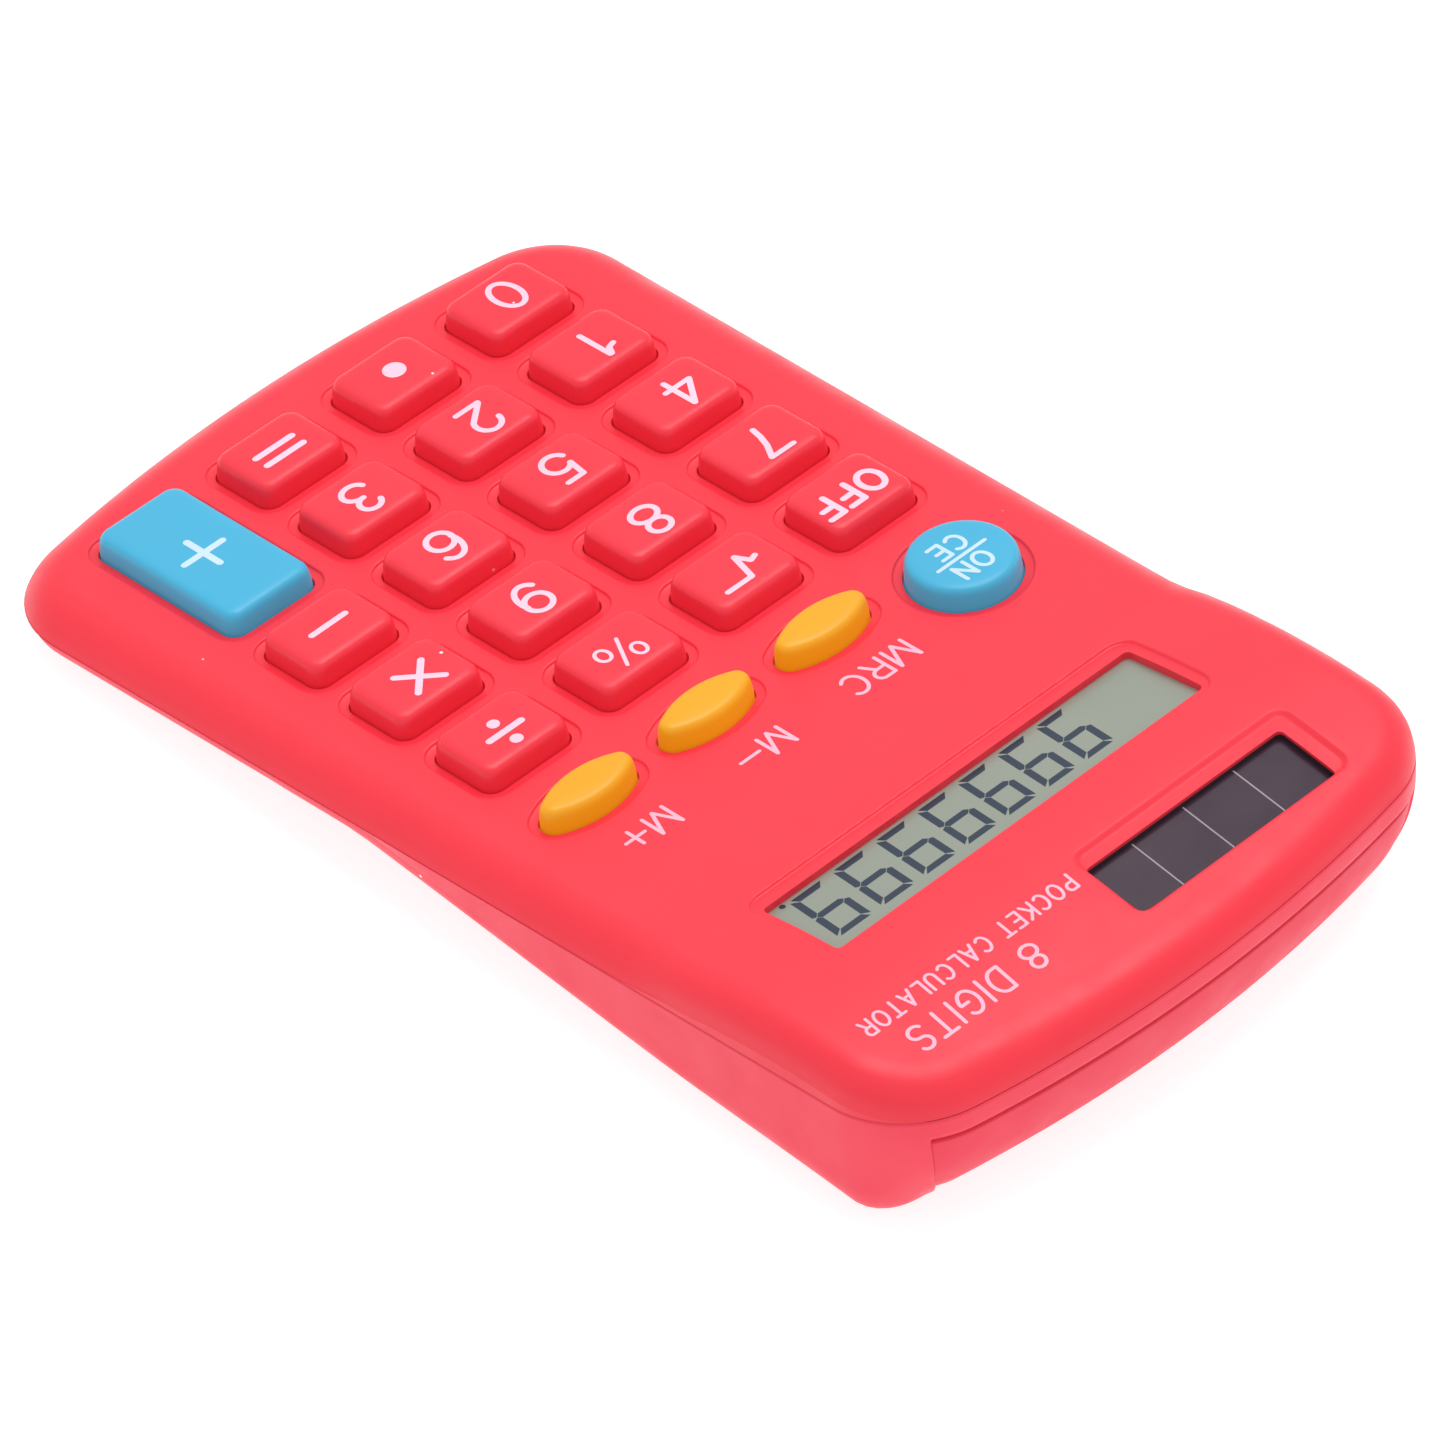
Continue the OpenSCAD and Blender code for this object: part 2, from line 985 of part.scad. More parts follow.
module contact_pills() {
    color([0.08, 0.08, 0.08])
        at_rest() {
            at_keys()
                translate([0, 0, board_top + pill_gap])
                    cylinder(r = pill_r, h = pill_t);
            at_ovals()
                translate([0, 0, board_top + pill_gap])
                    cylinder(r = pill_r, h = pill_t);
        }
}

module circuit_board() {
    color([0.1, 0.38, 0.2])
        at_rest()
            difference() {
                intersection() {
                    translate([-board_half, board_y0, board_top - board_t])
                        cube([2 * board_half, board_y1 - board_y0, board_t]);
                    slab(board_top - board_t - 1, board_top + 1, 2 * wall);
                }
                for (s = [-1, 1]) {
                    for (y = pcb_screw_y) {
                        translate([s * pcb_screw_x, y, board_top - 2])
                            cylinder(r = pcb_pilot_r, h = 4);
                    }
                    translate([s * case_screw_x, case_screw_y[0], board_top - 2])
                        cylinder(r = case_bore_r + 1.2, h = 4);
                    translate([s * case_screw_x, case_screw_y[1], board_top - 2])
                        cylinder(r = case_bore_r + 1.2, h = 4);
                }
            }
}

module chip_cover() {
    color([0.05, 0.05, 0.05])
        at_rest()
            translate([0, chip_y, board_top - board_t])
                intersection() {
                    translate([0, 0, chip_r - chip_rise])
                        sphere(r = chip_r);
                    translate([-chip_r, -chip_r, -chip_rise])
                        cube([2 * chip_r, 2 * chip_r, chip_rise]);
                }
}

module capacitor() {
    color([0.1, 0.12, 0.3])
        at_rest()
            translate([cap_x, cap_y, board_top - board_t - cap_r - 0.1])
                rotate([0, 90, 0])
                    cylinder(r = cap_r, h = cap_len);
}

module lcd_cell() {
    color([0.55, 0.6, 0.55])
        at_rest()
            on_arch(0, lcd_mid_y, lcd_sink)
                translate([-lcd_plate_half, -lcd_plate_b, -lcd_t])
                    cube([2 * lcd_plate_half, 2 * lcd_plate_b, lcd_t]);
}

module zebra_strip() {
    color([0.3, 0.3, 0.32])
        at_rest()
            translate([-zebra_half, zebra_y0, board_top])
                cube([2 * zebra_half, zebra_w, zebra_h]);
}

module solar_cell() {
    color([0.12, 0.08, 0.14])
        at_rest()
            on_arch(sun_mid_x, sun_mid_y, sun_sink)
                translate([-sun_plate_a, -sun_plate_b, -sun_t])
                    cube([2 * sun_plate_a, 2 * sun_plate_b, sun_t]);
}

module solar_leads() {
    color([0.6, 0.1, 0.1])
        at_rest()
            for (x = [-16, -12]) {
                translate([x, 60.4, -2.7])
                    rotate([-90, 0, 0])
                        cylinder(r = 0.4, h = 12);
            }
}

module battery_cell() {
    color([0.55, 0.56, 0.58])
        at_rest()
            translate([cell_x, cell_y, -cell_d])
                rotate([0, 90, 0]) {
                    translate([0, 0, -cell_len / 2])
                        cylinder(r = cell_r, h = cell_len - nub_len);
                    translate([0, 0, cell_len / 2 - nub_len - eps])
                        cylinder(r = nub_r, h = nub_len + eps);
                }
}

module plus_contact() {
    x = cell_x + cell_len / 2 + 0.05;
    color([0.8, 0.78, 0.7])
        at_rest()
            translate([x, cell_y - contact_w / 2, -cell_d - contact_drop])
                cube([contact_t, contact_w, contact_h]);
}

module minus_contact() {
    color([0.8, 0.78, 0.7])
        at_rest()
            translate([cradle_x0 + cradle_t + 0.05, cell_y - contact_w / 2, -cell_d - contact_drop])
                cube([contact_t, contact_w, contact_h]);
}

module battery_spring() {
    x0 = cradle_x0 + cradle_t + 0.5;
    x1 = cell_x - cell_len / 2;
    wire = 0.3;
    turns = 4;
    pitch = (x1 - x0 - 2 * wire) / (turns - 1);
    color([0.75, 0.74, 0.7])
        at_rest()
            translate([x0 + wire, cell_y, -cell_d])
                rotate([0, 90, 0]) {
                    for (k = [0:turns - 1]) {
                        translate([0, 0, k * pitch])
                            rotate_extrude()
                                translate([3.4 - 0.5 * k, 0])
                                    circle(r = wire, $fn = 24);
                    }
                    for (k = [0:turns - 2]) {
                        translate([3.15 - 0.5 * k, 0, k * pitch])
                            cylinder(r = wire, h = pitch);
                    }
                }
}

module battery_leads() {
    color([0.1, 0.1, 0.1])
        at_rest()
            for (x = [cradle_x0 + cradle_t + 0.3, cradle_x1 - 0.3]) {
                translate([x, 61.3, contact_h - contact_drop - cell_d + 0.44])
                    rotate([-90, 0, 0])
                        cylinder(r = 0.4, h = 6.2);
            }
}

module case_screws() {
    color([0.7, 0.7, 0.72])
        at_rest()
            for (s = [-1, 1]) {
                for (k = [0, 1]) {
                    seat = k == 0 ? case_seat_low : case_seat_high;
                    translate([s * case_screw_x, case_screw_y[k], seat])
                        difference() {
                            union() {
                                translate([0, 0, -case_head_h])
                                    cylinder(r = case_head_r, h = case_head_h);
                                cylinder(r = case_shank_r, h = -seat - 1.6);
                            }
                            translate([-1.2, -0.2, -case_head_h - eps])
                                cube([2.4, 0.4, 0.5]);
                            translate([-0.2, -1.2, -case_head_h - eps])
                                cube([0.4, 2.4, 0.5]);
                        }
                }
            }
}

module board_screws() {
    color([0.7, 0.7, 0.72])
        at_rest()
            for (s = [-1, 1]) {
                for (y = pcb_screw_y) {
                    translate([s * pcb_screw_x, y, board_top - board_t]) {
                        translate([0, 0, -pcb_head_h])
                            cylinder(r = pcb_head_r, h = pcb_head_h);
                        cylinder(r = pcb_shank_r, h = board_t + 1.8);
                    }
                }
            }
}

upper_shell();
lower_shell();
battery_door();
key_0();
key_1();
key_2();
key_3();
key_4();
key_5();
key_6();
key_7();
key_8();
key_9();
key_point();
key_equals();
key_minus();
key_times();
key_divide();
key_percent();
key_root();
key_off();
key_plus();
key_on();
key_m_recall();
key_m_minus();
key_m_plus();
key_membrane();
contact_pills();
circuit_board();
chip_cover();
capacitor();
lcd_cell();
zebra_strip();
solar_cell();
solar_leads();
battery_cell();
plus_contact();
minus_contact();
battery_spring();
battery_leads();
case_screws();
board_screws();
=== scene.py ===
import json
import math
import bpy
from mathutils import Matrix, Vector
from mathutils.geometry import delaunay_2d_cdt


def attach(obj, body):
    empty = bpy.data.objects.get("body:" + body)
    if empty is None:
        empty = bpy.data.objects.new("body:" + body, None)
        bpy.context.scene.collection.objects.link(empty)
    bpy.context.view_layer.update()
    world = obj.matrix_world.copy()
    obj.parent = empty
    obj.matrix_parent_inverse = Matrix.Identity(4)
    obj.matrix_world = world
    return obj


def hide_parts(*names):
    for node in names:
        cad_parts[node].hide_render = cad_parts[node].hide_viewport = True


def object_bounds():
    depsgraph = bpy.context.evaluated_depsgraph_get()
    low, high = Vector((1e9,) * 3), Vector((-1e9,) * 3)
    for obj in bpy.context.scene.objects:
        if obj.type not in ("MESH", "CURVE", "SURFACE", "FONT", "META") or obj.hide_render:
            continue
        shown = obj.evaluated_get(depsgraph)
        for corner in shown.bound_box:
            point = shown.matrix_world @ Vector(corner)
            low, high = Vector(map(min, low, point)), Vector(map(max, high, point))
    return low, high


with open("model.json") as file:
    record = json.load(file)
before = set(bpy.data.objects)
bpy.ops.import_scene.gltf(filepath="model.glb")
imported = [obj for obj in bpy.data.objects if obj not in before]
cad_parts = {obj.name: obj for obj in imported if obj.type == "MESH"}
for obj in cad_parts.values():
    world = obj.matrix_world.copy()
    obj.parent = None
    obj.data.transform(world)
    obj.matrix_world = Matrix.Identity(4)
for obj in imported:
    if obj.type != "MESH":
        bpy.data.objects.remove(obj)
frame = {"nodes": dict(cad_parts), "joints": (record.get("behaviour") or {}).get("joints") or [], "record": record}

CAD_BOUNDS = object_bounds()
MM = 0.001

# ---------------------------------------------------------------- deck frame
# The deck is tilted at rest. UP is against the keys' travel, FWD runs along the deck to the display end.
AXES = {j["child"]: Vector(j["axis"]) for j in frame["joints"]}
UP = -AXES["key_5"].normalized()
RIGHT = Vector((1, 0, 0))
FWD = UP.cross(RIGHT).normalized()


def deck_box(node):
    """Lowest and highest corner of a CAD node along the deck's own axes, in metres from the row origin."""
    co = [v.co for v in frame["nodes"][node].data.vertices]
    spans = [[c.dot(a) for c in co] for a in (RIGHT, FWD, UP)]
    return Vector([min(s) for s in spans]), Vector([max(s) for s in spans])


def middle(node):
    lo, hi = deck_box(node)
    return (lo + hi) / 2


KEY_H = 2.0
_, high4 = deck_box("key_4")
DECK_Y = (middle("key_4").y + middle("key_7").y) / 2
DECK_Z = high4.z - KEY_H * MM


def at(x, y, z):
    """A point given in millimetres on the deck, as a point of the row frame."""
    return x * MM * RIGHT + (y * MM + DECK_Y) * FWD + (z * MM + DECK_Z) * UP


def key_spot(node):
    """Centre and half sizes of a key's flange in millimetres on the deck."""
    lo, hi = deck_box(node)
    c = (lo + hi) / 2
    h = (hi - lo) / 2
    return c.x / MM, (c.y - DECK_Y) / MM, h.x / MM, h.y / MM


# ---------------------------------------------------------------- materials
def nodes_of(name):
    m = bpy.data.materials.new(name)
    m.use_nodes = True
    t = m.node_tree
    t.nodes.clear()
    return m, t


def add(t, kind, **values):
    n = t.nodes.new(kind)
    for k, v in values.items():
        if k in n.inputs:
            n.inputs[k].default_value = v
        else:
            setattr(n, k, v)
    return n


def ramp(t, source, stops):
    r = t.nodes.new("ShaderNodeValToRGB")
    e = r.color_ramp.elements
    while len(e) < len(stops):
        e.new(0.5)
    for i, (pos, col) in enumerate(stops):
        e[i].position = pos
        e[i].color = col
    t.links.new(source, r.inputs[0])
    return r.outputs[0]


def noise(t, coord, scale, detail=3.0):
    n = add(t, "ShaderNodeTexNoise", Scale=scale, Detail=detail, Roughness=0.6)
    t.links.new(coord, n.inputs["Vector"])
    return n.outputs[0]


def tint(c, k):
    return tuple(min(1.0, v * k) for v in c) + (1.0,)


SPECK_COLOUR = (1.0, 0.86, 0.84, 1.0)
GRAIN, GRAIN_SCALE = 0.02, 9000.0
GLOW_RADIUS = (0.002, 0.0006, 0.0005)


def surface(name, base, rough=0.45, vary=0.05, rough_vary=0.08, metal=0.0, specks=0.0, sub=0.0, coat=0.0, spec=0.5,
            painted_glow=0.0):
    """A procedural surface: slow colour variation, uneven gloss, fine grain, a few specks of dust, and a painted
    glow (emission in its own colour) that lifts its shaded sides.
    """
    m, t = nodes_of(name)
    out = t.nodes.new("ShaderNodeOutputMaterial")
    b = t.nodes.new("ShaderNodeBsdfPrincipled")
    pos = t.nodes.new("ShaderNodeTexCoord").outputs["Object"]
    slow = noise(t, pos, 60.0)
    colour = ramp(t, slow, [(0.3, tint(base, 1 - vary)), (0.7, tint(base, 1 + vary))])
    if specks:
        v = add(t, "ShaderNodeTexVoronoi", Scale=260.0)
        t.links.new(pos, v.inputs["Vector"])
        spot = ramp(t, v.outputs["Distance"], [(specks * 0.5, (1, 1, 1, 1)), (specks, (0, 0, 0, 1))])
        mask = ramp(t, noise(t, pos, 90.0), [(0.56, (0, 0, 0, 1)), (0.62, (1, 1, 1, 1))])
        both = add(t, "ShaderNodeMath", operation="MULTIPLY")
        t.links.new(spot, both.inputs[0])
        t.links.new(mask, both.inputs[1])
        mix = t.nodes.new("ShaderNodeMix")
        mix.data_type = "RGBA"
        mix.inputs[7].default_value = SPECK_COLOUR
        t.links.new(both.outputs[0], mix.inputs[0])
        t.links.new(colour, mix.inputs[6])
        colour = mix.outputs[2]
    t.links.new(colour, b.inputs["Base Color"])
    gloss = ramp(t, noise(t, pos, 220.0, 4.0), [(0.3, (rough - rough_vary,) * 3 + (1,)),
                                                (0.7, (rough + rough_vary,) * 3 + (1,))])
    t.links.new(gloss, b.inputs["Roughness"])
    bump = add(t, "ShaderNodeBump", Strength=GRAIN, Distance=0.0002)
    t.links.new(noise(t, pos, GRAIN_SCALE, 2.0), bump.inputs["Height"])
    t.links.new(bump.outputs[0], b.inputs["Normal"])
    b.inputs["Metallic"].default_value = metal
    b.inputs["Specular IOR Level"].default_value = spec
    if sub:
        b.inputs["Subsurface Weight"].default_value = sub
        b.inputs["Subsurface Radius"].default_value = GLOW_RADIUS
        b.inputs["Subsurface Scale"].default_value = 1.0
    # painted light: emission in the surface's own colour brightens it where it lies in shade
    if painted_glow:
        t.links.new(colour, b.inputs["Emission Color"])
        b.inputs["Emission Strength"].default_value = painted_glow
    if coat:
        b.inputs["Coat Weight"].default_value = coat
        b.inputs["Coat Roughness"].default_value = 0.05
    t.links.new(b.outputs[0], out.inputs[0])
    return m


RED = (0.71, 0.026, 0.046)
# The shells, door and keys carry a painted glow (emission) that brightens their shaded sides: painted light.
M_SHELL = surface("red_shell", RED, rough=0.4, specks=0.05, vary=0.02, spec=0.35, painted_glow=0.15)
# The lower shell and the door are paler, pinker copies of the shell red with more painted glow: painted light for
# their walls, which are lit from below.
M_LOWER = surface("red_lower_shell", (0.71, 0.038, 0.068), rough=0.45, specks=0.05, vary=0.02, spec=0.32, painted_glow=0.2)
M_DOOR = surface("red_door", (0.69, 0.042, 0.075), rough=0.5, specks=0.05, vary=0.02, spec=0.22, painted_glow=0.18)
M_KEY = surface("red_key", RED, rough=0.36, specks=0.05, vary=0.02, spec=0.35, painted_glow=0.16)
M_BLUE = surface("blue_key", (0.039, 0.293, 0.46), rough=0.36, specks=0.04, vary=0.03, spec=0.35, painted_glow=0.37)
M_ORANGE = surface("orange_key", (0.6, 0.262, 0.004), rough=0.36, specks=0.04, vary=0.03, spec=0.35, painted_glow=0.4)
# A darker red for the door stop: painted shade in the gap above the door.
M_PAINTED_SHADE = surface("painted_shade_red", (0.42, 0.006, 0.014), rough=0.6, vary=0.04, spec=0.1)
# Near-black for the solar window's inner wall: painted shade.
M_WELL_SHADE = surface("painted_well_shade", (0.02, 0.016, 0.02), rough=0.5, vary=0.1)
M_PRINT = surface("legend_print", (0.76, 0.53, 0.65), rough=0.5, vary=0.06, spec=0.2)
M_PRINT_BLUE = surface("legend_print_blue", (0.5, 0.66, 0.8), rough=0.5, vary=0.06, spec=0.2)
M_PRINT_CASE = surface("case_print", (0.8, 0.42, 0.54), rough=0.5, vary=0.06, spec=0.2)
M_LCD = surface("lcd_back", (0.25, 0.275, 0.23), rough=0.3, vary=0.03, rough_vary=0.03, coat=0.1, spec=0.4)
M_DIGIT = surface("lcd_digit", (0.022, 0.036, 0.06), rough=0.35, vary=0.08, coat=0.1, spec=0.3)
M_SUN = surface("solar_glass", (0.034, 0.014, 0.03), rough=0.22, vary=0.12, rough_vary=0.04, coat=0.12, spec=0.35)
M_GRID = surface("solar_divider", (0.3, 0.26, 0.3), rough=0.35, vary=0.1)
M_RUBBER = surface("membrane_rubber", (0.6, 0.6, 0.57), rough=0.55, vary=0.05, sub=0.1)
M_CARBON = surface("carbon", (0.02, 0.02, 0.02), rough=0.7, vary=0.2)
M_BOARD = surface("board", (0.02, 0.16, 0.06), rough=0.35, vary=0.15)
M_RESIN = surface("resin", (0.012, 0.012, 0.013), rough=0.18, vary=0.2)
M_SLEEVE = surface("sleeve", (0.03, 0.04, 0.15), rough=0.3, vary=0.1)
M_LEAD = surface("lead", (0.3, 0.02, 0.02), rough=0.35, vary=0.1)
M_CAN = surface("cell_can", (0.4, 0.4, 0.42), rough=0.3, vary=0.08, metal=1.0)
M_STEEL = surface("steel", (0.58, 0.56, 0.52), rough=0.28, vary=0.08, metal=1.0)

LOOKS = {
    "shell_red": M_LOWER, "door_red": M_DOOR, "key_red": M_KEY, "key_blue": M_BLUE, "key_orange": M_ORANGE,
    "membrane_rubber": M_RUBBER, "carbon_rubber": M_CARBON, "board_laminate": M_BOARD, "resin_black": M_RESIN,
    "capacitor_sleeve": M_SLEEVE, "display_glass": M_LCD, "zebra_rubber": M_CARBON, "solar_glass": M_SUN,
    "lead_insulation": M_LEAD, "cell_can": M_CAN, "contact_metal": M_STEEL, "screw_steel": M_STEEL,
}
SLOTS = {p["node"]: p["material_slot"] for p in frame["record"]["subparts"]}
for name, obj in frame["nodes"].items():
    if not obj.data.materials:
        obj.data.materials.append(None)
    for i in range(len(obj.material_slots)):
        obj.material_slots[i].material = LOOKS[SLOTS[name]]


# ---------------------------------------------------------------- mesh helpers
def piece(name, verts, faces, material, body, normals=None, smooth=True, replaces=None):
    me = bpy.data.meshes.new(name)
    me.from_pydata([tuple(v) for v in verts], [], faces)
    me.validate()
    me.materials.append(material)
    for p in me.polygons:
        p.use_smooth = smooth
    if normals:
        me.normals_split_custom_set_from_vertices([tuple(n) for n in normals])
    o = bpy.data.objects.new(name, me)
    bpy.context.scene.collection.objects.link(o)
    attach(o, body)
    if replaces:
        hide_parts(replaces)
    return o


def rounded(a, b, r, n=10, cx=0.0, cy=0.0):
    """A rounded rectangle's outline, anticlockwise."""
    pts = []
    for k, (sx, sy) in enumerate(((1, 1), (-1, 1), (-1, -1), (1, -1))):
        for i in range(n + 1):
            t = math.pi / 2 * (k + i / n)
            pts.append((cx + sx * (a - r) + r * math.cos(t), cy + sy * (b - r) + r * math.sin(t)))
    return pts


def ellipse(a, b, n=64, cx=0.0, cy=0.0):
    return [(cx + a * math.cos(2 * math.pi * i / n), cy + b * math.sin(2 * math.pi * i / n)) for i in range(n)]


def lens(a, b, r, cx=0.0, cy=0.0):
    """A long oval, anticlockwise: two flat arcs joined by round ends."""
    c = a - r
    big = (c * c + b * b - r * r) / (2 * (b - r))
    k = big - b
    phi = math.atan2(k, c)
    out = []
    for ox, oy, rad, a0, a1 in ((c, 0, r, -phi, phi), (0, -k, big, phi, math.pi - phi),
                                (-c, 0, r, math.pi - phi, math.pi + phi),
                                (0, k, big, math.pi + phi, 2 * math.pi - phi)):
        for i in range(14):
            t = a0 + (a1 - a0) * i / 14
            out.append((cx + ox + rad * math.cos(t), cy + oy + rad * math.sin(t)))
    return out


def lens_distance(x, y, a, b, r):
    c = a - r
    big = (c * c + b * b - r * r) / (2 * (b - r))
    k = big - b
    x, y = abs(x), abs(y)
    if math.atan2(x, y + k) > math.atan2(c, k):
        return math.hypot(x - c, y) - r
    return math.hypot(x, y + k) - big


def loft(name, rings, material, body, replaces=None):
    """Joins rings of equal length, from bottom to top, and closes the last one on its centre."""
    n = len(rings[0])
    verts = [p for ring in rings for p in ring]
    faces = []
    for k in range(len(rings) - 1):
        for i in range(n):
            j = (i + 1) % n
            faces.append((k * n + i, k * n + j, (k + 1) * n + j, (k + 1) * n + i))
    top = len(rings) - 1
    verts.append(sum(rings[top], Vector((0, 0, 0))) / n)
    for i in range(n):
        faces.append((top * n + i, top * n + (i + 1) % n, len(verts) - 1))
    verts.append(sum(rings[0], Vector((0, 0, 0))) / n)
    for i in range(n):
        faces.append(((i + 1) % n, i, len(verts) - 1))
    return piece(name, verts, faces, material, body, replaces=replaces)


# ---------------------------------------------------------------- legends
def arc(cx, cy, rx, ry, a0, a1):
    n = max(6, int(abs(a1 - a0) / 12))
    return [(cx + rx * math.cos(math.radians(a0 + (a1 - a0) * i / n)),
             cy + ry * math.sin(math.radians(a0 + (a1 - a0) * i / n))) for i in range(n + 1)]


SIX = [arc(0.33, 0.31, 0.33, 0.31, 0, 360), arc(0.37, 0.5, 0.37, 0.5, 42, 200)]
BOWL = arc(0.36, 0.75, 0.25, 0.25, 90, -90)
GLYPHS = {
    "0": (0.68, [arc(0.34, 0.5, 0.34, 0.5, 0, 360)]),
    "1": (0.34, [[(0, 0.74), (0.18, 0.79), (0.3, 1), (0.34, 1), (0.34, 0)]]),
    "2": (0.68, [arc(0.34, 0.68, 0.32, 0.32, 175, -38) + [(0.02, 0.04), (0, 0), (0.68, 0)]]),
    "3": (0.68, [arc(0.32, 0.76, 0.27, 0.24, 165, -90), arc(0.33, 0.26, 0.33, 0.26, 95, -165)]),
    "4": (0.74, [[(0.53, 0), (0.53, 1), (0, 0.28), (0.74, 0.28)]]),
    "5": (0.68, [[(0.6, 1), (0.13, 1), (0.05, 0.5)] + arc(0.32, 0.32, 0.34, 0.32, 142, -160)]),
    "6": (0.7, SIX),
    "7": (0.68, [[(0, 1), (0.68, 1), (0.45, 0.62), (0.33, 0.3), (0.27, 0)]]),
    "8": (0.68, [arc(0.34, 0.76, 0.28, 0.24, 0, 360), arc(0.34, 0.26, 0.34, 0.26, 0, 360)]),
    "9": (0.7, [[(0.68 - x, 1 - y) for x, y in s] for s in SIX]),
    "A": (0.74, [[(0, 0), (0.37, 1), (0.74, 0)], [(0.13, 0.34), (0.61, 0.34)]]),
    "C": (0.68, [arc(0.38, 0.5, 0.38, 0.5, 48, 312)]),
    "D": (0.68, [[(0, 0), (0, 1)] + arc(0.28, 0.5, 0.4, 0.5, 90, -90) + [(0, 0)]]),
    "E": (0.56, [[(0.56, 1), (0, 1), (0, 0), (0.58, 0)], [(0, 0.52), (0.5, 0.52)]]),
    "F": (0.54, [[(0, 0), (0, 1), (0.56, 1)], [(0, 0.52), (0.48, 0.52)]]),
    "G": (0.74, [arc(0.38, 0.5, 0.38, 0.5, 48, 350) + [(0.74, 0.46), (0.42, 0.46)]]),
    "I": (0.0, [[(0, 0), (0, 1)]]),
    "K": (0.66, [[(0, 0), (0, 1)], [(0.62, 1), (0, 0.38)], [(0.22, 0.58), (0.66, 0)]]),
    "L": (0.52, [[(0, 1), (0, 0), (0.52, 0)]]),
    "M": (0.84, [[(0, 0), (0, 1), (0.42, 0), (0.84, 1), (0.84, 0)]]),
    "N": (0.64, [[(0, 0), (0, 1), (0.64, 0), (0.64, 1)]]),
    "O": (0.76, [arc(0.38, 0.5, 0.38, 0.5, 0, 360)]),
    "P": (0.6, [[(0, 0), (0, 1), (0.36, 1)] + BOWL + [(0, 0.5)]]),
    "R": (0.64, [[(0, 0), (0, 1), (0.36, 1)] + BOWL + [(0, 0.5)], [(0.36, 0.5), (0.64, 0)]]),
    "S": (0.62, [arc(0.31, 0.75, 0.29, 0.25, 30, 270) + arc(0.31, 0.25, 0.31, 0.25, 90, -150)]),
    "T": (0.66, [[(0, 1), (0.66, 1)], [(0.33, 1), (0.33, 0)]]),
    "U": (0.66, [[(0, 1), (0, 0.33)] + arc(0.33, 0.33, 0.33, 0.33, 180, 360) + [(0.66, 1)]]),
    "-": (0.8, [[(0, 0.46), (0.8, 0.46)]]),
    "+": (0.8, [[(0, 0.46), (0.8, 0.46)], [(0.4, 0.06), (0.4, 0.86)]]),
    " ": (0.3, []),
}


def words(text, cx, cy, height, stroke, gap=0.34, narrow=1.0, lean=0.0):
    """Strokes of a line of capitals centred on (cx, cy), its height counting the stroke."""
    h = height - stroke
    total = sum(GLYPHS[c][0] for c in text) * h * narrow + gap * h * (len(text) - 1)
    x, out = cx - total / 2, []
    for c in text:
        w, lines = GLYPHS[c]
        for line in lines:
            out.append([(x + px * h * narrow + lean * (py - 0.5) * h, cy + (py - 0.5) * h) for px, py in line])
        x += w * h * narrow + gap * h
    return out


def disc(cx, cy, r, n=24):
    return [(cx + r * math.cos(2 * math.pi * i / n), cy + r * math.sin(2 * math.pi * i / n)) for i in range(n)]


def merged(patches):
    """Overlapping outlines joined into one flat triangulation without doubled faces."""
    pts, faces = [], []
    for patch in patches:
        faces.append(list(range(len(pts), len(pts) + len(patch))))
        pts += [Vector(p) for p in patch]
    out, _, tris, _, _, owners = delaunay_2d_cdt(pts, [], faces, 1, 1e-6)
    return [(v.x, v.y) for v in out], [tuple(t) for t, o in zip(tris, owners) if len(o)]


INK_STEP = 0.7


def printed(name, lines, stroke, height, body, dots=(), material=None):
    """Strokes of ink with round ends, laid on height(x, y)."""
    patches, half = [], stroke / 2
    for line in lines:
        for (x0, y0), (x1, y1) in zip(line, line[1:]):
            length = math.hypot(x1 - x0, y1 - y0)
            if length < 1e-6:
                continue
            nx, ny = -(y1 - y0) / length * half, (x1 - x0) / length * half
            k = max(1, int(length / INK_STEP))
            for i in range(k):
                a, b = i / k, (i + 1) / k
                ax, ay, bx, by = x0 + (x1 - x0) * a, y0 + (y1 - y0) * a, x0 + (x1 - x0) * b, y0 + (y1 - y0) * b
                patches.append([(ax + nx, ay + ny), (ax - nx, ay - ny), (bx - nx, by - ny), (bx + nx, by + ny)])
        for x, y in line:
            patches.append(disc(x, y, half, 12))
    for x, y, r in dots:
        patches.append(disc(x, y, r))
    xy, faces = merged(patches)
    verts = [at(x, y, height(x, y)) for x, y in xy]
    return piece(name, verts, faces, material or M_PRINT, body, smooth=False)


# ---------------------------------------------------------------- keys
GAP = 0.25
FLANGE = 0.72
INK = 0.012
KEY_GROW = 0.08
OVAL_END = 1.65
PROFILE = [(0.0, -1.2), (0.0, 0.0), (0.05, 0.55), (0.11, 1.05), (0.18, 1.38), (0.28, 1.6), (0.42, 1.78),
           (0.62, 1.9), (0.9, 1.96), (1.3, 1.99), (2.0, 2.0)]


def key_cap(node, shape, material):
    """shape(inset) gives the key's outline in millimetres, centred on the key's own middle."""
    cx, cy, hx, hy = key_spot(node)
    wide = KEY_GROW - FLANGE
    rings = [[at(cx + x, cy + y, -1.75) for x, y in shape(wide)],
             [at(cx + x, cy + y, -1.25) for x, y in shape(wide)],
             [at(cx + x, cy + y, -1.24) for x, y in shape(-0.02)]]
    reach = OVAL_END - GAP - 0.25 if node.startswith("key_m_") else PROFILE[-1][0]
    for inset, z in [p for p in PROFILE if p[0] <= reach]:
        rings.append([at(cx + x, cy + y, z) for x, y in shape(inset)])
    loft(node + "_cap", rings, material, node, replaces=node)
    return cx, cy


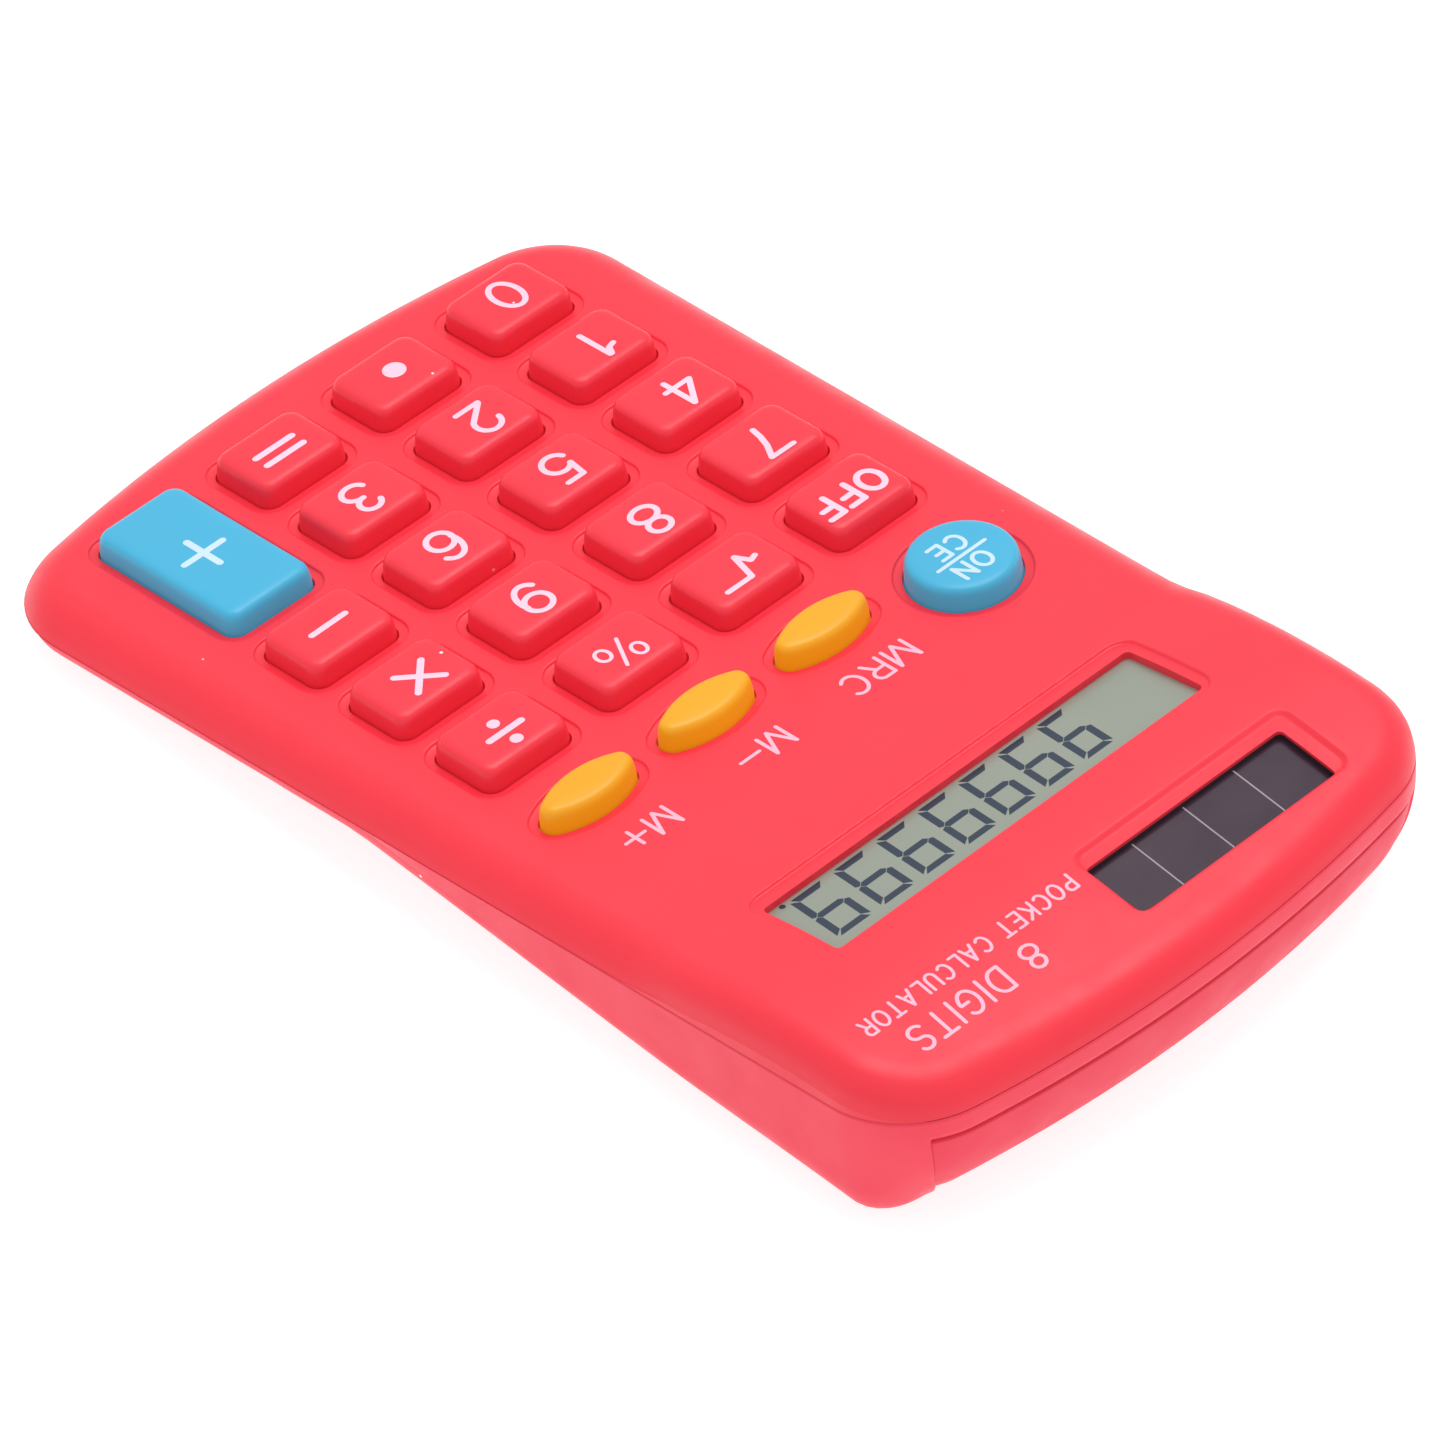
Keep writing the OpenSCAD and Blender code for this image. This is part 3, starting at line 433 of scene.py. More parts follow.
def square_shape(hx, hy):
    a, b = hx - FLANGE + KEY_GROW, hy - FLANGE + KEY_GROW
    return lambda i: rounded(a - i, b - i, max(0.25, 1.4 - 0.35 * i) if i >= 0 else 1.5)


def round_shape(hx, hy):
    r = hx - FLANGE + KEY_GROW
    return lambda i: ellipse(r - i, r - i)


def oval_shape(hx, hy):
    a, b = hx - FLANGE + KEY_GROW, hy - FLANGE + KEY_GROW
    r = OVAL_END - GAP
    return lambda i: lens(a - min(i, r - 0.2), b - min(i, r - 0.2), r - min(i, r - 0.2))


SQUARE_KEYS = {
    "key_0": ("0", -0.2, 0.0), "key_1": ("1", -0.8, 0.7), "key_2": ("2", -0.4, 0.5), "key_3": ("3", 0.15, 0.4),
    "key_4": ("4", -0.7, 0.7), "key_5": ("5", 0.0, 0.2), "key_6": ("6", 0.0, 0.2), "key_7": ("7", -0.25, 0.7),
    "key_8": ("8", -0.1, 0.7), "key_9": ("9", 0.1, 0.5),
}


def on_key(x, y):
    return KEY_H + INK


def legend(node, lines, stroke=0.62, dots=()):
    ink = M_PRINT_BLUE if node in ("key_plus", "key_on") else M_PRINT
    printed(node + "_legend", lines, stroke, on_key, node, dots, ink)


for node in [n for n in frame["nodes"] if n.startswith("key_") and n != "key_membrane"]:
    cx, cy, hx, hy = key_spot(node)
    kind = round_shape if node == "key_on" else oval_shape if node.startswith("key_m_") else square_shape
    key_cap(node, kind(hx, hy), LOOKS[SLOTS[node]])
    if node in SQUARE_KEYS:
        mark, dx, dy = SQUARE_KEYS[node]
        legend(node, words(mark, cx + dx, cy + dy - 0.15, 4.75, 0.58, narrow=0.93), 0.58)
    elif node == "key_point":
        legend(node, [], dots=[(cx - 0.2, cy - 0.05, 1.12)])
    elif node == "key_equals":
        legend(node, [[(cx - 1.9, cy + s * 0.78 + 0.5), (cx + 2.4, cy + s * 0.78 + 0.5)] for s in (-1, 1)], 0.7)
    elif node == "key_minus":
        legend(node, [[(cx - 2.0, cy), (cx + 1.95, cy + 0.05)]], 0.66)
    elif node == "key_times":
        legend(node, [[(cx - 1.9, cy - 1.1), (cx + 1.3, cy + 2.1)],
                      [(cx - 1.9, cy + 2.1), (cx + 1.3, cy - 1.1)]], 0.66)
    elif node == "key_divide":
        legend(node, [[(cx - 1.9, cy + 0.65), (cx + 1.8, cy + 0.65)]], 0.72,
               [(cx, cy + 2.15, 0.62), (cx, cy - 0.85, 0.6)])
    elif node == "key_plus":
        legend(node, [[(cx - 1.95, cy + 0.5), (cx + 2.55, cy + 0.5)],
                      [(cx + 0.3, cy - 1.8), (cx + 0.3, cy + 2.7)]], 0.7)
    elif node == "key_off":
        legend(node, words("OFF", cx + 0.3, cy + 0.65, 3.35, 0.46, 0.33))
    elif node == "key_root":
        legend(node, [[(cx - 2.4, cy + 0.2), (cx - 1.7, cy + 0.45), (cx - 1.0, cy - 1.0), (cx - 0.2, cy + 2.15),
                       (cx + 2.7, cy + 2.15)]], 0.58)
    elif node == "key_percent":
        legend(node, [arc(cx - 1.15, cy + 1.55, 0.62, 0.85, 0, 360), arc(cx + 1.65, cy - 0.1, 0.66, 0.85, 0, 360),
                      [(cx - 0.7, cy - 0.95), (cx + 1.1, cy + 2.45)]], 0.36)
    elif node == "key_on":
        legend(node, words("ON", cx + 0.35, cy + 2.0, 2.45, 0.4, 0.34)
               + words("CE", cx + 0.15, cy - 1.45, 2.45, 0.4, 0.34)
               + [[(cx - 2.6, cy + 0.3), (cx + 3.1, cy + 0.3)]], 0.4)


# ---------------------------------------------------------------- upper shell
HALF_W, TAPER = 34.4, 0.019
END_Y, LOW_Y, END_R, LOW_R, CORNER = 81.59, -40.29, 133.6, 145.0, 9.6
CREST_H, CREST_Y, ARCH_R = 1.565, 62.8, 81.0
SEAM = -3.0
HOLE_R, RIM, RIM_STEP, RIM_D, RIM_SLANT = 1.5, 0.95, 0.24, 0.28, 0.08
LCD = (-21.95, 50.35, 21.95, 59.8)
LCD_OUT = (-23.15, 48.5, 22.95, 60.7)
LCD_R, LCD_OUT_R = 0.5, 2.0
LCD_SINK, LCD_LEDGE = 0.34, 0.3
SUN = (-21.9, 68.6, 1.75, 75.8)
SUN_OUT = (-23.9, 66.6, 2.15, 76.2)
SUN_R, SUN_OUT_R = 0.55, 1.6
SUN_SINK, SUN_BAND = 0.42, 0.75
SUN_SHEAR = 0.06


def plan_outline(inset):
    """The body's outline, anticlockwise: two nearly straight sides, two bowed ends and four round corners."""
    pts = []
    for top in (True, False):
        a = math.atan(TAPER) if top else -math.atan(TAPER)
        end, rad = (END_Y, END_R) if top else (-LOW_Y, LOW_R)
        n = Vector((math.cos(a), math.sin(a)))
        t = Vector((-math.sin(a), math.cos(a)))
        base = n * (HALF_W * math.cos(a) - CORNER)
        e = Vector((0.0, end - rad))
        d = base - e
        q = d.dot(t)
        s = -q + math.sqrt(q * q - (d.dot(d) - (rad - CORNER) ** 2))
        mid = base + t * s
        m = (mid - e).normalized()
        half = []
        a0, a1 = math.atan2(n.y, n.x), math.atan2(m.y, m.x)
        for i in range(17):
            g = a0 + (a1 - a0) * i / 16
            half.append((mid.x + (CORNER - inset) * math.cos(g), mid.y + (CORNER - inset) * math.sin(g)))
        reach = math.pi / 2 - a1
        for i in range(1, 13):
            g = a1 + reach * i / 12
            half.append((e.x + (rad - inset) * math.cos(g), e.y + (rad - inset) * math.sin(g)))
        full = half + [(-x, y) for x, y in reversed(half[:-1])]
        pts += full if top else [(-x, -y) for x, y in full]
    out = []
    for i, p in enumerate(pts):
        q = pts[(i + 1) % len(pts)]
        k = max(1, int(math.hypot(q[0] - p[0], q[1] - p[1]) / 2.5))
        out += [(p[0] + (q[0] - p[0]) * j / k, p[1] + (q[1] - p[1]) * j / k) for j in range(k)]
    return out


EDGE = plan_outline(0.0)


def depth_inside(x, y):
    best = 1e9
    for i, (ax, ay) in enumerate(EDGE):
        bx, by = EDGE[(i + 1) % len(EDGE)]
        dx, dy = bx - ax, by - ay
        k = ((x - ax) * dx + (y - ay) * dy) / (dx * dx + dy * dy)
        k = min(1.0, max(0.0, k))
        d = (x - ax - dx * k) ** 2 + (y - ay - dy * k) ** 2
        if d < best:
            best = d
    return math.sqrt(best)


def smooth(a, b, v):
    k = min(1.0, max(0.0, (v - a) / (b - a)))
    return k * k * (3 - 2 * k)


def block_top(y):
    if y < 30:
        return 0.0
    a = CREST_H - ARCH_R + math.sqrt(ARCH_R * ARCH_R - (y - CREST_Y) ** 2)
    return 0.5 * (a + math.sqrt(a * a + 0.09))


def shell_top(x, y, d=None):
    """Height of the bare skin: deck, display block and the rounding towards the outline."""
    top = block_top(y)
    if d is None:
        d = depth_inside(x, y) if abs(x) > 24 or y > 72 or y < -30 else 9.0
    k = smooth(44.0, 51.0, y)
    r = 4.9 + (3.3 - 4.9) * k
    shift = 0.39 * (1 - k)
    run = r - d - shift
    if run > 0:
        top = top - r + math.sqrt(max(0.0, r * r - run * run))
    return max(top, SEAM)


def box_distance(x, y, box, r=1.0):
    cx, cy = (box[0] + box[2]) / 2, (box[1] + box[3]) / 2
    qx = abs(x - cx) - (box[2] - box[0]) / 2 + r
    qy = abs(y - cy) - (box[3] - box[1]) / 2 + r
    return math.hypot(max(qx, 0), max(qy, 0)) + min(max(qx, qy), 0) - r


HOLES = []
for node in [n for n in frame["nodes"] if n.startswith("key_") and n != "key_membrane"]:
    cx, cy, hx, hy = key_spot(node)
    a, b = hx - FLANGE + GAP, hy - FLANGE + GAP
    kind = "round" if node == "key_on" else "oval" if node.startswith("key_m_") else "square"
    HOLES.append((kind, cx, cy, a, b))


def hole_loop(hole, grow):
    kind, cx, cy, a, b = hole
    if kind == "square":
        return rounded(a + grow, b + grow, HOLE_R + grow, 8, cx, cy)
    if kind == "oval":
        return lens(a + grow, b + grow, OVAL_END + grow, cx, cy)
    return ellipse(a + grow, b + grow, 56, cx, cy)


def hole_distance(hole, x, y):
    kind, cx, cy, a, b = hole
    if kind == "square":
        return box_distance(x, y, (cx - a, cy - b, cx + a, cy + b), HOLE_R)
    if kind == "oval":
        return lens_distance(x - cx, y - cy, a, b, OVAL_END)
    return math.hypot(x - cx, y - cy) - a


def unshear(x, y):
    return x - SUN_SHEAR * (y - (SUN[1] + SUN[3]) / 2), y


def sink(x, y):
    """How far rims and bezels lie below the skin."""
    if 47 < y < 62:
        return LCD_SINK * smooth(0.0, LCD_LEDGE, -box_distance(x, y, LCD_OUT, LCD_OUT_R))
    if y > 63:
        ux, uy = unshear(x, y)
        return SUN_SINK * smooth(0.0, SUN_BAND, -box_distance(ux, uy, SUN_OUT, SUN_OUT_R))
    if -35 < y < 38:
        for hole in HOLES:
            if abs(x - hole[1]) < hole[3] + 1.2 and abs(y - hole[2]) < hole[4] + 1.2:
                s = max(0.0, hole_distance(hole, x, y))
                if s < RIM:
                    inner = RIM - RIM_STEP
                    return (RIM_D + RIM_SLANT * (1 - s / inner)) if s < inner else RIM_D * smooth(RIM, inner, s)
    return 0.0


def skin(x, y, d=None):
    return shell_top(x, y, d) - sink(x, y)


def rect_loop(box, r, n=5, shear=0.0):
    cx, cy = (box[0] + box[2]) / 2, (box[1] + box[3]) / 2
    pts = rounded((box[2] - box[0]) / 2, (box[3] - box[1]) / 2, r, n, cx, cy)
    out = []
    for i, p in enumerate(pts):
        q = pts[(i + 1) % len(pts)]
        k = max(1, int(math.hypot(q[0] - p[0], q[1] - p[1]) / 1.5))
        out += [(p[0] + (q[0] - p[0]) * j / k, p[1] + (q[1] - p[1]) * j / k) for j in range(k)]
    mid = (SUN[1] + SUN[3]) / 2
    return [(x + shear * (y - mid), y) for x, y in out]


def grown(box, d):
    return box[0] - d, box[1] - d, box[2] + d, box[3] + d


CUTS = [hole_loop(h, 0.0) for h in HOLES] + [rect_loop(LCD, LCD_R), rect_loop(SUN, SUN_R, shear=SUN_SHEAR)]


def build_upper_shell():
    loops = [plan_outline(d) for d in (0.0, 0.12, 0.35, 0.7, 1.1, 1.6, 2.2, 2.9, 3.7, 4.5, 5.3)]
    loops += CUTS
    for h in HOLES:
        loops += [hole_loop(h, g) for g in (0.35, RIM - RIM_STEP, RIM - RIM_STEP / 2, RIM, RIM + 0.1)]
    loops += [rect_loop(grown(LCD_OUT, -d), LCD_OUT_R - d, 10)
              for d in (-0.1, 0.0, LCD_LEDGE / 2, LCD_LEDGE, LCD_LEDGE + 0.1)]
    loops.append(rect_loop(grown(LCD, 0.4), LCD_R + 0.4))
    loops += [rect_loop(grown(SUN_OUT, -SUN_BAND * k), SUN_OUT_R - SUN_BAND * k, 8, SUN_SHEAR)
              for k in (0, 0.25, 0.5, 0.75, 1)]
    pts, edges = [], []
    for loop in loops:
        base = len(pts)
        pts += [Vector(p) for p in loop]
        edges += [(base + i, base + (i + 1) % len(loop)) for i in range(len(loop))]
    y = LOW_Y + 5.9
    while y < END_Y - 5.5:
        step = 1.6 if y > 40 else 3.0
        x = -28.2
        while x < 28.3:
            pts.append(Vector((x, y)))
            x += 1.88
        y += step
    out, _, faces, _, _, _ = delaunay_2d_cdt(pts, edges, [], 0, 1e-5)
    xy = [(v.x, v.y) for v in out]

    def inside(p):
        if depth_sign(p[0], p[1]) < 0:
            return False
        for h in HOLES:
            if abs(p[0] - h[1]) < h[3] and abs(p[1] - h[2]) < h[4] and hole_distance(h, p[0], p[1]) < -1e-4:
                return False
        if box_distance(p[0], p[1], LCD, LCD_R) < -1e-4:
            return False
        return box_distance(*unshear(p[0], p[1]), SUN, SUN_R) >= -1e-4

    depth = [depth_inside(px, py) for px, py in xy]
    keep = []
    for f in faces:
        c = (sum(xy[i][0] for i in f) / 3, sum(xy[i][1] for i in f) / 3)
        if inside(c):
            keep.append(tuple(f))
    z = [skin(px, py, d) for (px, py), d in zip(xy, depth)]
    e = 0.04
    verts, normals = [], []
    for (px, py), d, h in zip(xy, depth, z):
        verts.append(at(px, py, h))
        if d < 5.6:
            gx = (skin(px + e, py, depth_at(px + e, py)) - skin(px - e, py, depth_at(px - e, py))) / (2 * e)
            gy = (skin(px, py + e, depth_at(px, py + e)) - skin(px, py - e, depth_at(px, py - e))) / (2 * e)
        else:
            gx = (skin(px + e, py, 9.0) - skin(px - e, py, 9.0)) / (2 * e)
            gy = (skin(px, py + e, 9.0) - skin(px, py - e, 9.0)) / (2 * e)
        normals.append((UP - gx * RIGHT - gy * FWD).normalized())

    def wall(loop, steps, outward):
        n = len(loop)
        rows = []
        for drop, shift in steps:
            row = []
            for i, (px, py) in enumerate(loop):
                ax, ay = loop[i - 1]
                bx, by = loop[(i + 1) % n]
                t = math.hypot(bx - ax, by - ay)
                nx, ny = (by - ay) / t * outward, -(bx - ax) / t * outward
                h = drop if drop is not None else skin(px, py, 0.0 if outward > 0 else 9.0)
                row.append(len(verts))
                verts.append(at(px + nx * shift, py + ny * shift, h))
                normals.append((nx * RIGHT + ny * FWD).normalized())
            rows.append(row)
        for a, b in zip(rows, rows[1:]):
            for i in range(n):
                j = (i + 1) % n
                quad = (a[i], b[i], b[j], a[j])
                keep.append(quad if outward > 0 else quad[::-1])

    wall(plan_outline(0.0), [(None, 0.0), (SEAM + 0.06, 0.0), (SEAM + 0.01, -0.06), (SEAM + 0.01, -1.5)], 1)
    for loop in CUTS[:-2]:
        wall(loop, [(None, 0.0), (-1.2, 0.0)], -1)
    for loop, box in ((CUTS[-2], LCD), (CUTS[-1], SUN)):
        wall(loop, [(None, 0.0), (-1.6, 0.0)], -1)
    piece("upper_shell_skin", verts, keep, M_SHELL, "case", normals, replaces="upper_shell")


def depth_sign(x, y):
    """Positive inside the outline."""
    odd = False
    for i, (ax, ay) in enumerate(EDGE):
        bx, by = EDGE[(i + 1) % len(EDGE)]
        if (ay > y) != (by > y) and x < (bx - ax) * (y - ay) / (by - ay) + ax:
            odd = not odd
    return 1 if odd else -1


def depth_at(x, y):
    return depth_inside(x, y) * (1 if depth_sign(x, y) > 0 else 0)


build_upper_shell()


# ---------------------------------------------------------------- lower shell and battery door
BACK, SLOPE_DEG, END_WALL_R = 6.0, 9.8, 17.0
SLOPE = math.tan(math.radians(SLOPE_DEG))
BUMP_Z, BUMP_R = -13.0, 4.0
HUB = END_WALL_R - BUMP_R
WALL_A = math.asin((SEAM - BUMP_Z) / HUB)
BUMP_Y = END_Y - END_WALL_R + HUB * math.cos(WALL_A)
RUN_Y = BUMP_Y - BUMP_R * math.sin(math.radians(SLOPE_DEG))
LOW_Z = BUMP_Z - BUMP_R * math.cos(math.radians(SLOPE_DEG))
DOOR_X, DOOR_TOP, SHELL_EDGE, DOOR_Y = 29.3, -5.75, -5.1, 66.0
DOOR_INSET, STOP_INSET = 0.22, 0.85
SHELL_LIP, DOOR_LIP = 1.4, 0.55
FLOOR_CLEARANCE = 0.01
KINK_Y = RUN_Y - (-BACK - LOW_Z) / SLOPE


def back_depth(y):
    """The bare back: flat behind the keypad, sloping down to the battery, then rounding up."""
    a = (y - KINK_Y) * SLOPE
    z = -BACK - 0.5 * (a + math.sqrt(a * a + 0.16))
    if y > RUN_Y:
        dy = min(BUMP_R, y - BUMP_Y)
        z = max(z, BUMP_Z - math.sqrt(max(0.0, BUMP_R * BUMP_R - dy * dy)))
    return max(z, BUMP_Z - BUMP_R + 0.03)


def off_floor(x, y, z):
    """The depth of a point of the back, raised where the point would sink below the CAD model's lowest face."""
    return z + max(0.0, FLOOR_CLEARANCE - (at(x, y, z).z - CAD_BOUNDS[0].z) / MM) / UP.z


def lower_outline():
    """Outline points, with extra points where the door's edges cross the outline, and their outward normals."""
    pts = plan_outline(0.0)
    extra = []
    for i, p in enumerate(pts):
        q = pts[(i + 1) % len(pts)]
        extra.append(p)
        for x in (DOOR_X, -DOOR_X):
            if p[1] > 40 and (p[0] - x) * (q[0] - x) < 0 and abs(q[1] - p[1]) < 3:
                k = (x - p[0]) / (q[0] - p[0])
                extra.append((x, p[1] + (q[1] - p[1]) * k))
        if (p[1] - DOOR_Y) * (q[1] - DOOR_Y) < 0:
            k = (DOOR_Y - p[1]) / (q[1] - p[1])
            extra.append((p[0] + (q[0] - p[0]) * k, DOOR_Y))
    pts = extra
    out = []
    n = len(pts)
    for i, p in enumerate(pts):
        a, b = pts[i - 1], pts[(i + 1) % n]
        t = math.hypot(b[0] - a[0], b[1] - a[1])
        out.append((p, ((b[1] - a[1]) / t, -(b[0] - a[0]) / t)))
    return out


def section(k, end, side_depth, side_r):
    """Inset and depth at step k of 0..1 down the wall and round the bottom edge; end is 1 on the display end."""
    if k < 0.5:
        u = k / 0.5
        si, sz = 0.25 * u, SEAM + (side_depth + side_r - SEAM) * u if side_depth + side_r < SEAM else SEAM
    else:
        u = (k - 0.5) / 0.5 * math.pi / 2
        r = min(side_r, SEAM - side_depth)
        si, sz = 0.25 + r * (1 - math.cos(u)), side_depth + r * (1 - math.sin(u))
    big, small = WALL_A * END_WALL_R, (math.pi / 2 - WALL_A) * BUMP_R
    run = k * (big + small)
    if run < big:
        g = run / END_WALL_R
        ei, ez = END_WALL_R * (1 - math.cos(g)), SEAM - END_WALL_R * math.sin(g)
    else:
        g = WALL_A + (run - big) / BUMP_R
        ei, ez = END_WALL_R - HUB * math.cos(WALL_A) - BUMP_R * math.cos(g), BUMP_Z - BUMP_R * math.sin(g)
    return si + (ei - si) * end, sz + (ez - sz) * end


def level(a, b, z):
    """The point at height z on the line through a and b."""
    k = (z - a[2]) / (b[2] - a[2])
    return a[0] + (b[0] - a[0]) * k, a[1] + (b[1] - a[1]) * k, z


def build_lower():
    line = lower_outline()
    n = len(line)
    ks = [i / 40 for i in range(41)]
    shrink = [0.12, 0.3, 0.5, 0.7, 0.88, 1.0]

    def column(p, nrm, inward):
        end = smooth(-0.05, 0.9, nrm[1]) if p[1] > 0 else 0.0
        round_r = 3.4 + 1.4 * smooth(45.0, 72.0, p[1])
        pts = []
        for k in ks:
            i0, _ = section(k, end, -10.0, round_r)
            depth = back_depth(min(p[1] - nrm[1] * i0, BUMP_Y))
            i, z = section(k, end, depth, round_r)
            px, py = p[0] - nrm[0] * (i + inward), p[1] - nrm[1] * (i + inward)
            pts.append((px, py, off_floor(px, py, z) + inward * (k > 0.6)))
        lx, ly, lz = pts[-1]
        for s in shrink:
            z = lz + (back_depth(min(ly, BUMP_Y)) + inward - lz) * smooth(0, 0.5, s)
            pts.append((lx * (1 - s), ly, off_floor(lx * (1 - s), ly, z)))
        return pts

    cols = [column(p, nrm, 0.0) for p, nrm in line]
    door_cols = [column(p, nrm, DOOR_INSET) for p, nrm in line]
    rows = len(cols[0])
    last = len(ks) - 1
    is_end = [p[1] > 40 and abs(p[0]) < DOOR_X + 1e-6 for p, _ in line]
    is_side = [p[1] > DOOR_Y - 1e-6 for p, _ in line]
    middle_col = cols[max(range(n), key=lambda i: line[i][0][1])]
    shell_row, door_row = [min(range(rows), key=lambda r: abs(middle_col[r][2] - z))
                           for z in (SHELL_EDGE, DOOR_TOP)]
    for i in range(n):
        if is_end[i]:
            for c, r, z in ((cols[i], shell_row, SHELL_EDGE), (door_cols[i], door_row, DOOR_TOP)):
                c[r] = level(c[r - 1], c[r + 1], z)

    def owner(i, r):
        """True for the door, False for the shell, None in the gap between them."""
        j = (i + 1) % n
        if is_end[i] and is_end[j]:
            return True if r >= door_row else False if r < shell_row else None
        return is_side[i] and is_side[j] and r >= last

    def mesh(name, columns, want, material, body, node, lip):
        verts, faces, index = [], [], {}

        def vert(i, r):
            key = (i % n, r)
            if key not in index:
                index[key] = len(verts)
                verts.append(at(*columns[i % n][r]))
            return index[key]

        edge = {}
        for i in range(n):
            for r in range(rows - 1):
                if owner(i, r) is not want:
                    continue
                quad = (vert(i, r), vert(i, r + 1), vert(i + 1, r + 1), vert(i + 1, r))
                faces.append(quad)
                for a, b in zip(quad, quad[1:] + quad[:1]):
                    edge[(a, b)] = True
        open_edges = [(a, b) for a, b in edge if (b, a) not in edge]
        # every open edge but the mid line gets a lip turned inwards, so that the wall shows its thickness
        inner = {}
        for a, b in open_edges:
            va, vb = verts[a], verts[b]
            if abs(va.x) < 1e-6 and abs(vb.x) < 1e-6:
                continue
            for v in (a, b):
                if v not in inner:
                    inner[v] = len(verts)
                    c = verts[v]
                    hub = at(0, min(62.0, max(-25.0, (c.dot(FWD) - DECK_Y) / MM)), -4.6)
                    verts.append(c + (hub - c).normalized() * lip * MM)
            faces.append((a, inner[a], inner[b], b))
        return piece(name, verts, faces, material, body, replaces=node)

    # the step inside the end wall that shuts the gap above the door, coloured dark red as painted shade in the gap
    stop_cols = [column(p, nrm, STOP_INSET) for p, nrm in line]
    ends = [i for i in range(n) if is_end[i]]
    ends.sort(key=lambda i: line[i][0][0])
    verts = [at(*stop_cols[i][r]) for r in (shell_row - 2, door_row + 3) for i in ends]
    m = len(ends)
    faces = [(k, m + k, m + k + 1, k + 1) for k in range(m - 1)]
    piece("door_stop", verts, faces, M_PAINTED_SHADE, "case")
    mesh("lower_shell_skin", cols, False, M_LOWER, "case", "lower_shell", SHELL_LIP)
    mesh("battery_door_skin", door_cols, True, M_DOOR, "door", "battery_door", DOOR_LIP)


build_lower()


# ---------------------------------------------------------------- print on the case
def on_case(x, y):
    return skin(x, y) + INK


M_LABELS = {"memory_recall": ("MRC", -7.0), "memory_minus": ("M-", 6.9), "memory_plus": ("M+", 20.5)}
for name, (text, x) in M_LABELS.items():
    printed(name + "_label", words(text, x, 34.9, 3.1, 0.36, 0.3), 0.36, on_case, "case",
            material=M_PRINT_CASE)
printed("descriptor_print", words("POCKET CALCULATOR", 15.6, 69.0, 2.1, 0.28, 0.3, 0.8, 0.1), 0.28, on_case, "case",
        material=M_PRINT_CASE)
printed("capacity_print", words("8 DIGITS", 18.5, 72.95, 3.1, 0.34, 0.3, 0.88, 0.1), 0.34, on_case, "case",
        material=M_PRINT_CASE)


# ---------------------------------------------------------------- display
GLASS_SINK = 1.21
GLASS_MID = 55.1
GLASS_SLOPE = (CREST_Y - GLASS_MID) / ARCH_R
GLASS_TOP = block_top(GLASS_MID)
DIGIT_PITCH, DIGIT_CLOSER, DIGIT_W, DIGIT_NARROWER = 5.12, 0.041, 3.2, 0.075
DIGIT_BASE, DIGIT_H, SEG, SEG_GAP, DIGIT_LEAN = 51.15, 6.4, 0.74, 0.05, 0.115


def on_glass(x, y):
    return GLASS_TOP - GLASS_SINK + (y - GLASS_MID) * GLASS_SLOPE + INK


def under_glass(x, y):
    return on_glass(x, y) - INK


def nine(cx, w):
    """Segments a, b, c, d, f and g of a figure nine, with mitred ends."""
    t, g, c = SEG, SEG_GAP, 0.2
    x0, x1 = cx - (w + t) / 2, cx + (w + t) / 2
    y0, y1 = DIGIT_BASE - t / 2, DIGIT_BASE + DIGIT_H + t / 2
    ym = (y0 + y1) / 2

    def upright(x, inward, low, high, cut_low):
        foot = [(x + inward * t, low + t / 2 + g), (x + inward * t / 2, low + g), (x, low + c + g)]
        if cut_low:
            foot = [(x + inward * t, low + t + g), (x, low + c + g)]
        head = [(x, high - c - g), (x + inward * t, high - t - g)]
        if cut_low:
            head = [(x, high - c - g), (x + inward * t / 2, high - g), (x + inward * t, high - t / 2 - g)]
        return foot + head

    return [
        [(x0 + c + g, y1), (x0 + t + g, y1 - t), (x1 - t - g, y1 - t), (x1 - c - g, y1)],
        upright(x1, -1, ym, y1, False), upright(x1, -1, y0, ym, True), upright(x0, 1, ym, y1, False),
        [(x0 + t + g, y0 + t), (x0 + c + g, y0), (x1 - c - g, y0), (x1 - t - g, y0 + t)],
        [(x0 + t / 2 + g, ym), (x0 + t + g, ym - t / 2), (x1 - t - g, ym - t / 2), (x1 - t / 2 - g, ym),
         (x1 - t - g, ym + t / 2), (x0 + t + g, ym + t / 2)],
    ]


def slanted(shape):
    return [(x + DIGIT_LEAN * (y - DIGIT_BASE - DIGIT_H / 2), y) for x, y in shape]


def flat_piece(name, shapes, height, material, replaces=None):
    xy, faces = merged(shapes)
    return piece(name, [at(x, y, height(x, y)) for x, y in xy], faces, material, "case", smooth=False,
                 replaces=replaces)


digits = [slanted(s) for i in range(7)
          for s in nine(17.75 - DIGIT_PITCH * i + DIGIT_CLOSER * i * i, DIGIT_W - DIGIT_NARROWER * i)]
digits.append(disc(20.0, 50.75, 0.3, 12))
flat_piece("display_digits", digits, on_glass, M_DIGIT)
flat_piece("display_glass", [rect_loop(grown(LCD, 0.8), 0.3)], under_glass, M_LCD,
           replaces="lcd_cell")

# ---------------------------------------------------------------- solar cell
SUN_MID_Y = (SUN[1] + SUN[3]) / 2
SUN_TOP = block_top(SUN_MID_Y)
SUN_SLOPE = (CREST_Y - SUN_MID_Y) / ARCH_R
SUN_DEPTH = 1.26


def on_sun(x, y):
    return SUN_TOP - SUN_DEPTH + (y - SUN_MID_Y) * SUN_SLOPE + INK


